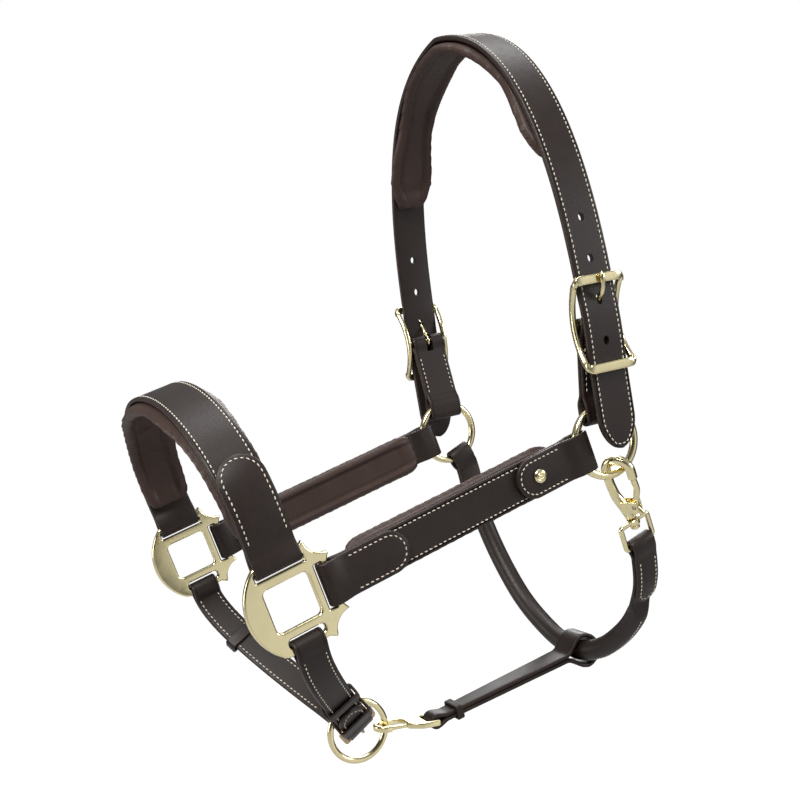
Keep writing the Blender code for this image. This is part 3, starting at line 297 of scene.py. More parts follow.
def brass_patina_group():
    """Handled brass: faint clouding, fine hairlines and polish marks."""
    tree, start, end = new_group(
        "Brass Patina",
        [("Vector", "NodeSocketVector", None), ("Hairline", "NodeSocketFloat", 0.5)],
        [("Tone", "NodeSocketFloat"), ("Height", "NodeSocketFloat")])
    clouds = noise_at(tree, start.outputs["Vector"], 95.0, 4.0, 0.6)
    stretched = node(tree, "ShaderNodeMapping", {"Vector": start.outputs["Vector"],
                                                 "Rotation": (0.4, 0.3, 0.9), "Scale": (0.12, 1.0, 1.0)})
    lines = noise_at(tree, stretched.outputs[0], 1700.0, 3.0, 0.7)
    dents = noise_at(tree, start.outputs["Vector"], 210.0, 2.0, 0.5)
    height = math_node(tree, "ADD", math_node(tree, "MULTIPLY", lines, start.outputs["Hairline"]), dents)
    tree.links.new(clouds, end.inputs["Tone"])
    tree.links.new(height, end.inputs["Height"])
    return tree


def place_group(material, maker, name, inputs):
    """Adds a shared group to a material, made the first time it is used."""
    tree = material.node_tree
    group = bpy.data.node_groups.get(name) or maker()
    return node(tree, "ShaderNodeGroup", inputs, node_tree=group)


def new_material(name, metallic=0.0):
    material = bpy.data.materials.new(name)
    material.use_nodes = True
    shader = material.node_tree.nodes["Principled BSDF"]
    shader.inputs["Metallic"].default_value = metallic
    return material, material.node_tree, shader


def object_vector(tree):
    return node(tree, "ShaderNodeTexCoord").outputs["Object"]


def attribute(tree, name):
    return node(tree, "ShaderNodeAttribute", attribute_name=name).outputs["Fac"]


def shade(colour, factor):
    return (*[min(channel * factor, 1.0) for channel in colour], 1.0)


def leather_material(name, colour, roughness, pore, crease, bump, wear, sheen):
    """Bridle leather: clouded dye, grain, rubbed edges and a waxed sheen."""
    material, tree, shader = new_material(name)
    vector = object_vector(tree)
    grain = place_group(material, leather_grain_group, "Leather Grain",
                        {"Vector": vector, "Pore Size": pore, "Crease": crease})
    worn = place_group(material, worn_edge_group, "Worn Edge",
                       {"Vector": vector, "Edge": attribute(tree, "edge"), "Wear": wear})
    dyed = blend_colour(tree, grain.outputs["Tone"], shade(colour, 0.62), shade(colour, 1.5))
    rubbed = (colour[0] * 2.6 + 0.012, colour[1] * 2.3 + 0.008, colour[2] * 2.0 + 0.006, 1.0)
    tree.links.new(blend_colour(tree, worn.outputs["Mask"], dyed, rubbed), shader.inputs["Base Color"])
    gloss = math_node(tree, "MULTIPLY_ADD", grain.outputs["Dullness"], 0.35)
    gloss.node.inputs[2].default_value = roughness
    tree.links.new(gloss, shader.inputs["Roughness"])
    shader.inputs["Specular IOR Level"].default_value = sheen
    relief = node(tree, "ShaderNodeBump", {"Strength": bump, "Distance": 0.00025,
                                           "Height": grain.outputs["Height"]})
    tree.links.new(relief.outputs[0], shader.inputs["Normal"])
    return material


def brass_material(name, colour, roughness, spread, hairline, bump):
    material, tree, shader = new_material(name, 1.0)
    vector = object_vector(tree)
    patina = place_group(material, brass_patina_group, "Brass Patina",
                         {"Vector": vector, "Hairline": hairline})
    mixed = blend_colour(tree, patina.outputs["Tone"], shade(colour, 0.86), shade(colour, 1.08))
    tree.links.new(mixed, shader.inputs["Base Color"])
    gloss = math_node(tree, "MULTIPLY_ADD", patina.outputs["Tone"], spread)
    gloss.node.inputs[2].default_value = roughness
    tree.links.new(gloss, shader.inputs["Roughness"])
    relief = node(tree, "ShaderNodeBump", {"Strength": bump, "Distance": 0.0001,
                                           "Height": patina.outputs["Height"]})
    tree.links.new(relief.outputs[0], shader.inputs["Normal"])
    return material


def thread_material(name, colour):
    material, tree, shader = new_material(name)
    vector = object_vector(tree)
    tone = noise_at(tree, vector, 420.0, 2.0)
    tree.links.new(blend_colour(tree, tone, shade(colour, 0.7), shade(colour, 1.15)),
                   shader.inputs["Base Color"])
    twist = node(tree, "ShaderNodeTexWave", {"Vector": vector, "Scale": 900.0, "Distortion": 1.5})
    relief = node(tree, "ShaderNodeBump", {"Strength": 0.5, "Distance": 0.0001, "Height": twist.outputs[1]})
    tree.links.new(relief.outputs[0], shader.inputs["Normal"])
    shader.inputs["Roughness"].default_value = 0.62
    return material


FINISHES = {
    "strap": lambda: leather_material("bridle_leather", colours().leather, 0.36, 1.0, 0.35, 0.30, 0.55, 0.30),
    "padding": lambda: leather_material(
        "padding_leather", colours().padding, 0.42, 1.5, 0.9, 0.45, 0.35, 0.34),
    "thread": lambda: thread_material("waxed_thread", colours().thread),
    "brass": lambda: brass_material("polished_brass", colours().brass, 0.10, 0.14, 0.5, 0.12),
    "antique": lambda: brass_material("antique_brass", colours().antique, 0.30, 0.22, 1.0, 0.5),
    "steel": lambda: brass_material("pin_steel", (0.5, 0.49, 0.46), 0.28, 0.15, 0.8, 0.2),
}
MADE_MATERIALS = {}


def finish(name):
    if name not in MADE_MATERIALS:
        MADE_MATERIALS[name] = FINISHES[name]()
    return MADE_MATERIALS[name]


# ---------------------------------------------------------------- curves

def smooth_step(start, end, amount):
    return start + (end - start) * amount * amount * (3 - 2 * amount)


def bezier(p0, p1, p2, p3, steps):
    points = []
    for k in range(steps + 1):
        t = k / steps
        u = 1 - t
        points.append(p0 * u**3 + p1 * 3 * u * u * t + p2 * 3 * u * t * t + p3 * t**3)
    return points


def through_points(knots, steps):
    """A smooth curve through every knot (Catmull-Rom)."""
    padded = [2 * knots[0] - knots[1], *knots, 2 * knots[-1] - knots[-2]]
    points = []
    for k in range(1, len(padded) - 2):
        a, b, c, d = padded[k - 1:k + 3]
        for step in range(steps):
            t = step / steps
            points.append(0.5 * (2 * b + (c - a) * t + (2 * a - 5 * b + 4 * c - d) * t * t
                                 + (3 * b - a - 3 * c + d) * t**3))
    points.append(knots[-1].copy())
    return points


def mirrored(points):
    return [Vector((p.x, -p.y, p.z)) for p in reversed(points)]


def arch(half):
    """A whole arch from its near half, whose last point is on the middle plane."""
    return half + mirrored(half)[1:]


class StrapLine:
    """The line a strap follows: its points, the way across it, and lengths along it."""

    def __init__(self, points, *across_keys):
        self.points = points
        self.across_keys = across_keys
        self.lengths = [0.0]
        for a, b in zip(points[:-1], points[1:]):
            self.lengths.append(self.lengths[-1] + (b - a).length)
        self.total = self.lengths[-1]

    def piece(self, s):
        for k in range(1, len(self.points) - 1):
            if s < self.lengths[k]:
                return k - 1
        return len(self.points) - 2

    def tangent(self, s):
        k = self.piece(s)
        centre = (self.lengths[k] + self.lengths[k + 1]) / 2
        other = k + 1 if s > centre else k - 1
        here = (self.points[k + 1] - self.points[k]).normalized()
        if other < 0 or other > len(self.points) - 2:
            return here
        there = (self.points[other + 1] - self.points[other]).normalized()
        reach = abs((self.lengths[other] + self.lengths[other + 1]) / 2 - centre)
        return here.lerp(there, 0.5 * min(abs(s - centre) / reach * 2, 1)).normalized()

    def across_at(self, s):
        spans = len(self.across_keys) - 1
        if not spans:
            return self.across_keys[0]
        place = min(max(s / self.total, 0), 1) * spans
        k = min(int(place), spans - 1)
        return self.across_keys[k].lerp(self.across_keys[k + 1], place - k)

    def axes(self, s):
        """The tangent, the way across and the way out at a length."""
        tangent = self.tangent(s)
        across = self.across_at(s)
        across = (across - tangent * across.dot(tangent)).normalized()
        return tangent, across, tangent.cross(across)

    def spot(self, s, aside=0.0, out=0.0):
        k = self.piece(s)
        part = (s - self.lengths[k]) / (self.lengths[k + 1] - self.lengths[k])
        _, across, normal = self.axes(s)
        return self.points[k].lerp(self.points[k + 1], part) + across * aside + normal * out

    def find(self, value, direction):
        """The first length at which the line rises past a value along a direction."""
        for k, (a, b) in enumerate(zip(self.points[:-1], self.points[1:])):
            low, high = a.dot(direction), b.dot(direction)
            if low <= value <= high:
                return self.lengths[k] + (b - a).length * (value - low) / (high - low)
        raise ValueError("the line never passes that height")

    def locate(self, places):
        """For an array of points: lengths along, distances across and distances out."""
        starts = numpy.array([tuple(p) for p in self.points[:-1]])
        spans = numpy.array([tuple(b - a) for a, b in zip(self.points[:-1], self.points[1:])])
        squared = (spans ** 2).sum(axis=1)
        offset = places[:, None, :] - starts[None]
        part = numpy.clip((offset * spans[None]).sum(axis=2) / squared[None], 0, 1)
        gap = ((offset - spans[None] * part[..., None]) ** 2).sum(axis=2)
        best = gap.argmin(axis=1)
        rows = numpy.arange(len(places))
        chosen = part[rows, best]
        lengths = numpy.array(self.lengths)
        along = lengths[best] + numpy.sqrt(squared[best]) * chosen
        base = starts[best] + spans[best] * chosen[:, None]
        keys = numpy.linspace(0, self.total, 300)
        frames = [self.axes(s) for s in keys]
        across, normal = (numpy.stack([numpy.interp(along, keys, [axes[way][k] for axes in frames])
                                       for k in range(3)], axis=1) for way in (1, 2))
        away = places - base
        return along, (away * across).sum(axis=1), (away * normal).sum(axis=1), across, normal


# ---------------------------------------------------------------- routes along a line

def spaced(start, end, step=STEP):
    """Lengths from start to end, both left out, about a step apart."""
    count = max(int(round(abs(end - start) / step)), 1)
    return [start + (end - start) * k / count for k in range(1, count)]


def run_of(start, end, out, width, step=STEP):
    return [(s, out, width) for s in [start, *spaced(start, end, step), end]]


def rounded_tip(s_tip, sign, out, width, steps=12):
    """The half-round end of a strap, which runs from its tip towards sign."""
    r = width / 2
    route = []
    for k in range(steps + 1):
        angle = math.pi / 2 * (k + 0.35) / (steps + 0.35)
        route.append((s_tip + sign * r * (1 - math.cos(angle)), out, 2 * r * math.sin(angle)))
    return route


def point_width(along):
    """How wide a billet's rounded point is, from 0 at its tip to 1."""
    return math.sin(min(along, 1.0) * math.pi / 2) ** 0.5


def pointed_tip(s_tip, sign, out, width, length, steps=12):
    shares = [((k + 0.25) / (steps + 0.25)) ** 1.7 for k in range(steps + 1)]
    return [(s_tip + sign * length * share, out, width * point_width(share)) for share in shares]


def eased(s_from, s_to, out_from, out_to, width, steps=8):
    route = []
    for k in range(1, steps + 1):
        part = k / steps
        route.append((s_from + (s_to - s_from) * part, smooth_step(out_from, out_to, part), width))
    return route


def round_bar(s_bar, sign, radius, slot, width, steps=16):
    """Round a bar, from the outer layer to the inner one; the strap lies towards sign."""
    route = []
    if slot:
        route.append((s_bar + sign * slot, radius, width))
    for k in range(steps + 1):
        angle = math.pi * k / steps
        route.append((s_bar - sign * radius * math.sin(angle), radius * math.cos(angle), width))
    if slot:
        route.append((s_bar + sign * slot, -radius, width))
    return route


def folded_end(s_bar, sign, radius, slot, ease, step, tongue, width):
    """A tongue on the outer layer, the fold round the bar, and the inner layer's start."""
    outer, inner = step / 2, -step / 2
    s_open = s_bar + sign * slot
    s_flat = s_open + sign * ease
    route = rounded_tip(s_bar + sign * tongue, -sign, outer, width)
    route += [(s, outer, width) for s in spaced(route[-1][0], s_flat)]
    route.append((s_flat, outer, width))
    route += eased(s_flat, s_open, outer, radius, width)[:-1 if slot else -2]
    route += round_bar(s_bar, sign, radius, slot, width)
    route += eased(s_flat, s_open, inner, -radius, width)[:-1 if slot else -2][::-1]
    route.append((s_flat, inner, width))
    return route


def chape_route(s_low, radius_low, slot_low, s_high, radius_high, step, width, ease_high=9 * MM):
    """A doubled strap round two bars; its ends meet on the inner layer."""
    outer, inner = step / 2, -step / 2
    seam = (s_low + s_high) / 2
    ease = 9 * MM
    low_open = s_low + slot_low
    kept = None if slot_low else -1
    s_flat = s_high - ease_high
    route = run_of(seam - 0.02 * MM, low_open + ease, inner, width)
    route += eased(low_open + ease, low_open, inner, -radius_low, width)[:-1][:kept]
    route += round_bar(s_low, 1, radius_low, slot_low, width)[::-1]
    route += eased(low_open + ease, low_open, outer, radius_low, width)[:-1][:kept][::-1]
    route += run_of(low_open + ease, s_flat, outer, width)
    route += eased(s_flat, s_high, outer, radius_high, width)[:-2]
    route += round_bar(s_high, -1, radius_high, 0, width)
    route += eased(s_flat, s_high, inner, -radius_high, width)[:-2][::-1]
    route += run_of(s_flat, seam + 0.02 * MM, inner, width)
    return route


# ---------------------------------------------------------------- swept leather and wire

def edge_share(aside, half):
    return max(0.0, 1 - (half - abs(aside)) / (2.2 * MM))


def leather_section(width, thickness):
    """A strap cut square with bevelled, burnished edges and a creased line near each edge."""
    w, t = width / 2, thickness / 2
    r = min(t * 0.8, w * 0.6)
    crease = 1.35 * MM
    depth = 0.16 * MM if w > 4 * MM else 0.0
    section = []
    for corner_z, start in ((-t + r, -90), (t - r, 0)):
        for k in range(4):
            angle = math.radians(start + 30 * k)
            section.append((w - r + r * math.cos(angle), corner_z + r * math.sin(angle)))
    inset = min(crease + 0.5 * MM, w * 0.5)
    for shift, drop in ((-0.5, 0), (0, depth), (0.5, 0)):
        section.append((w - inset - shift * -0.6 * MM if depth else (w - r) * (0.8 + shift * -0.2), t - drop))
    section = section + [(-x, z) for x, z in reversed(section)]
    return [(x, z, edge_share(x, w)) for x, z in section]


def round_section(width, thickness, sides=20):
    """A flat section with half-round edges, or a circle when as thick as wide."""
    r = min(width, thickness) / 2
    w, t = width / 2 - r, thickness / 2 - r
    section = []
    for k in range(sides):
        angle = 2 * math.pi * (k + 0.5) / sides
        x, z = math.cos(angle), math.sin(angle)
        place = (x * r + math.copysign(w, x), z * r + math.copysign(t, z))
        section.append((*place, edge_share(place[0], width / 2) * (0.0 if w < 1 * MM else 1.0)))
    return section


def oval_section(width, thickness, power=0.8, sides=16):
    section = []
    for k in range(sides):
        angle = 2 * math.pi * (k + 0.5) / sides
        x, z = math.cos(angle), math.sin(angle)
        section.append((math.copysign(abs(x) ** power, x) * width / 2,
                        math.copysign(abs(z) ** power, z) * thickness / 2, 0.0))
    return section


def sweep(stations, closed=False):
    """Extrudes a ring of edges along stations of (point, across, section)."""
    bm = bmesh.new()
    edge_layer = bm.verts.layers.float.new("edge")
    count = len(stations)
    places, edges, first = [], [], []
    for k, (point, across, section) in enumerate(stations):
        before = stations[k - 1 if k or closed else 0][0]
        after = stations[(k + 1) % count if k < count - 1 or closed else k][0]
        tangent = (after - before).normalized()
        side = (across - tangent * across.dot(tangent)).normalized()
        normal = tangent.cross(side)
        target = [point + side * x + normal * z for x, z, _ in section]
        if k:
            made = bmesh.ops.extrude_edge_only(bm, edges=edges)["geom"]
            fresh = [part for part in made if isinstance(part, bmesh.types.BMVert)]
            lookup = {vert.co.to_tuple(8): vert for vert in fresh}
            ring = [lookup[co.to_tuple(8)] for co in places]
            known = set(fresh)
            edges = [part for part in made if isinstance(part, bmesh.types.BMEdge)
                     and part.verts[0] in known and part.verts[1] in known]
        else:
            ring = [bm.verts.new(co) for co in target]
            edges = [bm.edges.new(pair) for pair in zip(ring, ring[1:] + ring[:1])]
            first = edges
            bm.faces.ensure_lookup_table()
            start = ring
        for vert, co, (_, _, edge) in zip(ring, target, section):
            vert.co = co
            vert[edge_layer] = edge
        places = [vert.co.copy() for vert in ring]
    if closed:
        bmesh.ops.bridge_loops(bm, edges=first + edges)
    else:
        bm.faces.new(start)
        bm.faces.new(ring)
    return bm


def new_object(name, bm, finish_name, sharp=40):
    """Makes a closed, outward-facing object at the origin in a finish."""
    bmesh.ops.recalc_face_normals(bm, faces=bm.faces)
    mesh = bpy.data.meshes.new(name)
    bm.to_mesh(mesh)
    bm.free()
    mesh.shade_smooth()
    mesh.set_sharp_from_angle(angle=math.radians(sharp))
    item = bpy.data.objects.new(name, mesh)
    bpy.context.scene.collection.objects.link(item)
    mesh.materials.append(finish(finish_name))
    return item


def stand_for(item, *nodes):
    """The item rides with the first node's body and replaces every node."""
    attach(item, BODY_OF[nodes[0]])
    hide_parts(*nodes)
    return item


def apply_modifiers(item):
    """Swaps the item's mesh for its evaluated one."""
    depsgraph = bpy.context.evaluated_depsgraph_get()
    mesh = bpy.data.meshes.new_from_object(item.evaluated_get(depsgraph), depsgraph=depsgraph)
    old = item.data
    item.modifiers.clear()
    item.data = mesh
    mesh.name = item.name
    bpy.data.meshes.remove(old)


def cut_or_join(item, tools, operation):
    """Boolean with each tool, applied, and the tools removed."""
    for tool in tools:
        modifier = item.modifiers.new(operation.lower(), "BOOLEAN")
        modifier.operation = operation
        modifier.solver = "EXACT"
        modifier.object = tool
    apply_modifiers(item)
    for tool in tools:
        mesh = tool.data
        bpy.data.objects.remove(tool, do_unlink=True)
        bpy.data.meshes.remove(mesh)
    item.data.shade_smooth()
    item.data.set_sharp_from_angle(angle=math.radians(40))


def leather_item(name, line, route, thickness, section=leather_section):
    stations = []
    for s, out, width in route:
        _, across, _ = line.axes(s)
        stations.append((line.spot(s, 0, out), across, section(width, thickness)))
    return new_object(name, sweep(stations), "strap")


def rod_bmesh(points, radius, across, sides=14, closed=False, power=1.0):
    """A wire along points; radius is one value or one for each point."""
    radii = radius if isinstance(radius, (list, tuple)) else [radius] * len(points)
    stations = [(point, across, oval_section(2 * r, 2 * r, power, sides))
                for point, r in zip(points, radii)]
    return sweep(stations, closed)


def rod(name, points, radius, across, finish_name="brass", **shape):
    return new_object(name, rod_bmesh(points, radius, across, **shape), finish_name)


def turned(profile, centre, axis, steps):
    """Turns (radius, height) points about an axis through the centre."""
    side = axis.orthogonal().normalized()
    bm = bmesh.new()
    verts = [bm.verts.new(centre + side * r + axis * h) for r, h in profile]
    edges = [bm.edges.new(pair) for pair in zip(verts[:-1], verts[1:])]
    if profile[0][0] > 0:
        edges.append(bm.edges.new((verts[-1], verts[0])))
    bmesh.ops.spin(bm, geom=verts + edges, cent=centre, axis=axis, angle=2 * math.pi,
                   steps=steps, use_merge=True)
    bmesh.ops.remove_doubles(bm, verts=bm.verts, dist=1e-6)
    return bm


def torus(name, centre, axis, radius, wire, finish_name="brass", steps=72, sides=18):
    profile = []
    for k in range(sides):
        angle = 2 * math.pi * k / sides
        profile.append((radius + wire * math.cos(angle), wire * math.sin(angle)))
    return new_object(name, turned(profile, centre, axis, steps), finish_name)


# ---------------------------------------------------------------- stitching

def row_places(line, samples, height):
    """Points, with the way out, on a strap's face, from (length, aside, out) samples."""
    places = []
    for s, aside, out in samples:
        _, _, normal = line.axes(s)
        places.append((line.spot(s, aside, out + height), normal))
    return places


def edge_rows(line, start, end, out, width, thickness, step=STEP):
    """Two rows of stitches, one near each edge."""
    aside = width / 2 - sizes().stitch_inset
    lengths = [start, *spaced(start, end, step), end]
    return [row_places(line, [(s, a, out) for s in lengths], thickness / 2) for a in (-aside, aside)]


def tongue_row(line, s_from, s_tip, out, width, thickness, tip_shape="round", length=None):
    """One row up one edge of a tongue, round its end and back down the other edge."""
    inset = sizes().stitch_inset
    sign = 1 if s_tip > s_from else -1
    aside = width / 2 - inset
    samples = []
    if tip_shape == "round":
        centre = s_tip - sign * width / 2
        up = [(s, -aside, out) for s in [s_from, *spaced(s_from, centre)]]
        bend = [(centre + sign * aside * math.sin(math.pi * k / 14), -aside * math.cos(math.pi * k / 14), out)
                for k in range(15)]
        samples = up + bend + [(s, -a, out) for s, a, _ in reversed(up)]
    else:
        shares = [(k / 12) ** 1.6 for k in range(12, 0, -1)]
        up = [(s, -aside, out) for s in [s_from, *spaced(s_from, s_tip - sign * length)]]
        for share in shares:
            wide = max(width / 2 * point_width(share) - inset * (0.9 + 0.1 * share), 0)
            up.append((s_tip - sign * (inset + share * (length - inset)), -wide, out))
        samples = up + [(s_tip - sign * inset, 0, out)] + [(s, -a, out) for s, a, _ in reversed(up)]
    return row_places(line, samples, thickness / 2)


def sew(name, node_name, rows):
    """Short waxed stitches along every row, as one object that rides with a leather piece."""
    pitch, thread = sizes().stitch_pitch, sizes().thread
    bm = bmesh.new()
    for row in rows:
        lengths = [0.0]
        for (a, _), (b, _) in zip(row[:-1], row[1:]):
            lengths.append(lengths[-1] + (b - a).length)
        count = max(int(lengths[-1] / pitch), 1)
        k = 0
        for index in range(count):
            s = (index + 0.5) * lengths[-1] / count
            while k < len(lengths) - 2 and lengths[k + 1] < s:
                k += 1
            (a, normal_a), (b, normal_b) = row[k], row[k + 1]
            part = (s - lengths[k]) / max(lengths[k + 1] - lengths[k], 1e-9)
            along = (b - a).normalized()
            normal = normal_a.lerp(normal_b, part)
            normal = (normal - along * normal.dot(along)).normalized()
            side = along.cross(normal)
            slanted = (along + side * 0.12).normalized()
            side = slanted.cross(normal)
            shape = Matrix((side * thread / 2, normal * thread * 0.42, slanted * pitch * 0.33)).transposed()
            place = shape.to_4x4()
            place.translation = a.lerp(b, part) + normal * thread * 0.08
            bmesh.ops.create_uvsphere(bm, u_segments=6, v_segments=5, radius=1, matrix=place)
    item = new_object(name, bm, "thread", 180)
    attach(item, BODY_OF[node_name])
    return item


# ---------------------------------------------------------------- padding

def pad_width(widths, s, s_from, s_to):
    """Width at a length, from (distance from the nearer end, width) keys."""
    d = min(s - s_from, s_to - s)
    for (d0, w0), (d1, w1) in zip(widths[:-1], widths[1:]):
        if d <= d1:
            return smooth_step(w0, w1, max(d - d0, 0) / (d1 - d0))
    return widths[-1][1]


def pad_shape(line, s_from, s_to, out, widths, thickness, slack, step=4 * MM):
    """The pad before it is filled: a slack bag with rounded ends."""
    reach = 12 * MM
    stations = []
    for s in [s_from + slack, *spaced(s_from + slack, s_to - slack, step), s_to - slack]:
        near_end = min(s - s_from, s_to - s) / reach
        grown = math.sqrt(max(1 - (1 - min(near_end, 1)) ** 2, 0.02))
        depth = (thickness - slack) * (0.45 + 0.55 * grown)
        wide = (pad_width(widths, s, s_from, s_to) - 2 * slack) * (0.7 + 0.3 * grown)
        _, across, _ = line.axes(s)
        stations.append((line.spot(s, 0, out + thickness / 2 - slack / 2 - depth / 2), across,
                         oval_section(wide, depth, 0.72, 24)))
    return sweep(stations)


def remeshed(item, voxel):
    modifier = item.modifiers.new("remesh", "REMESH")
    modifier.mode = "VOXEL"
    modifier.voxel_size = voxel
    apply_modifiers(item)


def mesh_points(mesh):
    places = numpy.empty(len(mesh.vertices) * 3)
    mesh.vertices.foreach_get("co", places)
    return places.reshape(-1, 3)


def inflate(item, cap):
    """Fills the bag with a cloth simulation and keeps every point within cap of its start."""
    scene = bpy.context.scene
    start = mesh_points(item.data)
    cloth = item.modifiers.new("filling", "CLOTH")
    cloth.settings.quality = 5
    cloth.settings.mass = 0.3
    cloth.settings.tension_stiffness = 12
    cloth.settings.compression_stiffness = 12
    cloth.settings.bending_stiffness = 0.6
    cloth.settings.use_pressure = True
    cloth.settings.uniform_pressure_force = PAD_PRESSURE
    cloth.settings.effector_weights.gravity = 0
    for number in range(1, SIM_FRAMES + 1):
        scene.frame_set(number)
    depsgraph = bpy.context.evaluated_depsgraph_get()
    filled = mesh_points(item.evaluated_get(depsgraph).data)
    item.modifiers.clear()
    scene.frame_set(1)
    moved = filled - start
    length = numpy.maximum(numpy.linalg.norm(moved, axis=1, keepdims=True), 1e-9)
    moved *= numpy.minimum(1, cap / length)
    item.data.vertices.foreach_set("co", (start + moved).ravel())
    item.data.update()


def bump_at(values, centre, spread):
    return numpy.exp(-((values - centre) / spread) ** 2)


def sculpt_pad(item, line, s_from, s_to, out, widths, thickness):
    """Sews the middle panel between two rolled rims, and puckers the leather at the seams."""
    places = mesh_points(item.data)
    along, aside, height, across, normal = line.locate(places)
    height = height - out
    keys = numpy.linspace(s_from, s_to, 200)
    width = numpy.interp(along, keys, [pad_width(widths, s, s_from, s_to) for s in keys])
    fade = numpy.clip(numpy.minimum(along - s_from, s_to - along) / (15 * MM), 0, 1)
    inner = numpy.clip(0.55 - height / thickness, 0, 1)
    seam = width / 2 - 9.5 * MM
    panel = 1 / (1 + numpy.exp((numpy.abs(aside) - seam) / (0.9 * MM)))
    lift = panel * inner * fade * thickness * 0.36
    valley = bump_at(numpy.abs(aside), seam + 0.4 * MM, 1.5 * MM) * inner * fade * 1.9 * MM
    rim = bump_at(height, thickness * 0.26, 1.0 * MM) * (numpy.abs(aside) > width * 0.38)
    pinch = rim * 0.8 * MM * numpy.sign(aside)
    pucker = numpy.array([noise.noise(Vector(place) * 55) + 0.25 * noise.noise(Vector(place) * 150)
                          for place in places])
    pucker = pucker * inner * 0.45 * MM
    places = places + normal * (lift + valley + pucker)[:, None] - across * pinch[:, None]
    item.data.vertices.foreach_set("co", places.ravel())
    item.data.update()
    edge = item.data.attributes.new("edge", "FLOAT", "POINT")
    edge.data.foreach_set("value", numpy.clip((numpy.abs(aside) / width - 0.36) * 6, 0, 1) * 0.6)


def make_padding(node_name, line, s_from, s_to, out, widths, thickness):
    """A filled leather pad under a strap, from its slack bag."""
    bag = pad_shape(line, s_from, s_to, out, widths, thickness, PAD_SLACK)
    item = new_object(node_name.replace("_pad", "_padding"), bag, "padding", 180)
    remeshed(item, PAD_VOXEL)
    inflate(item, PAD_SWELL)
    modifier = item.modifiers.new("smooth", "SUBSURF")
    modifier.levels = modifier.render_levels = 1
    calm = item.modifiers.new("calm", "SMOOTH")
    calm.factor, calm.iterations = CALM_FACTOR, CALM_STEPS
    apply_modifiers(item)
    sculpt_pad(item, line, s_from, s_to, out, widths, thickness)
    keep_below(item, line, out + thickness / 2)
    item.data.shade_smooth()
    if not item.data.materials:
        item.data.materials.append(finish("padding"))
    stand_for(item, node_name)
    return item


def keep_below(item, line, top):
    """Flattens the pad's outer face against the strap it is sewn to."""
    places = mesh_points(item.data)
    _, _, height, _, normal = line.locate(places)
    over = numpy.maximum(height - top, 0)
    item.data.vertices.foreach_set("co", (places - normal * over[:, None]).ravel())
    item.data.update()


# ---------------------------------------------------------------- strap lines

def on_crown(y, height):
    return RING_MIDDLE + LATERAL * y + UP_CROWN * height


def on_nose(y, height):
    return SQUARE_MIDDLE + LATERAL * y + UP_NOSE * height


def crown_line():
    hang = [on_crown(-BUCKLE_SPREAD, h * MM) for h in (-4, 30, 45, 60)]
    rise = bezier(on_crown(-BUCKLE_SPREAD, BUCKLE_HEIGHT), on_crown(-116.5 * MM, 150 * MM),
                  on_crown(-104 * MM, 262 * MM), on_crown(0, 276 * MM), 44)
    return StrapLine(arch(hang + rise), -ACROSS_CROWN)


def nose_line():
    half = bezier(on_nose(-HALF_SPREAD, 32 * MM), on_nose(-115 * MM, 80 * MM),
                  on_nose(-78 * MM, 125 * MM), on_nose(0, 125 * MM), 36)
    return StrapLine(arch([on_nose(-HALF_SPREAD, 14 * MM)] + half), -ALONG_CHEEK)


def cheek_line(sign):
    start = SQUARE_MIDDLE + LATERAL * sign * HALF_SPREAD
    return StrapLine([start + CHEEK_RUN * k / 12 for k in range(13)], -UP_NOSE * sign)


def chape_line(sign):
    """From the big ring up to the buckle's middle bar."""
    low = on_crown(sign * HALF_SPREAD, 0)
    knee = on_crown(sign * HALF_SPREAD, RING_RADIUS + RING_WIRE + 1 * MM)
    high = on_crown(sign * (BUCKLE_SPREAD - BUCKLE_BAR_IN), BUCKLE_HEIGHT)
    points = [low, knee] + [knee.lerp(high, k / 8) for k in range(1, 9)]
    points.append(high + (high - knee) * 0.3)
    return StrapLine(points, ACROSS_CROWN * sign)


def chin_line():
    """From the near square's lower bar, under the chin and up to the off one."""
    bar = -(SLOT_TO + SQUARE_EDGE) / 2
    stub = [on_nose(-HALF_SPREAD, v) for v in (bar + 10 * MM, bar, bar - 4 * MM, bar - 8 * MM)]
    start = stub[-1]
    bend = start - UP_NOSE * 26 * MM + LATERAL * 9 * MM
    low = CHIN_LOW - LATERAL * 40 * MM + Vector((-6, 0, 6)) * MM
    half = stub + bezier(start, bend, low, CHIN_LOW, 32)[1:]
    return StrapLine(arch(half), ALONG_CHEEK, Vector((0.74, 0, 0.67)), ALONG_CHEEK)


def eye_across():
    across = Vector((0.88, 0, 0.47))
    return (across - SNAP_ALONG * across.dot(SNAP_ALONG)).normalized()


def on_eye(along, across=0.0):
    return SNAP_WIRE_AT + SNAP_ALONG * along + eye_across() * across


def on_snap(along, across=0.0):
    return SNAP_WIRE_AT + SNAP_ALONG * along + HOOK_ACROSS * across


def ring_place(x, y, z):
    return RING_MIDDLE + Vector((x, y, z)) * MM


def throat_line():
    off_way = Vector((0.53, 0, -0.85)).normalized()
    off_ring = RING_MIDDLE + LATERAL * HALF_SPREAD
    knots = [on_eye(SNAP_EYE_LOW + k * MM) for k in (-10, 0, 10)]
    knots += [ring_place(47, -82, -97), ring_place(54, -60, -124), ring_place(55, -32, -145)]
    knots += [ring_place(51.8, -9, -153.6), ring_place(50.4, 9, -153.6)]
    knots += [ring_place(48, 32, -146), ring_place(42, 60, -126), ring_place(34, 84, -94)]
    knots += [ring_place(25, 99, -58)]
    knots += [off_ring + off_way * r * MM for r in (34, 26, 16, 6)]
    return StrapLine(through_points(knots, 8), eye_across(), Vector((0.95, 0, 0.31)),
                     Vector((0.85, 0, 0.53)))


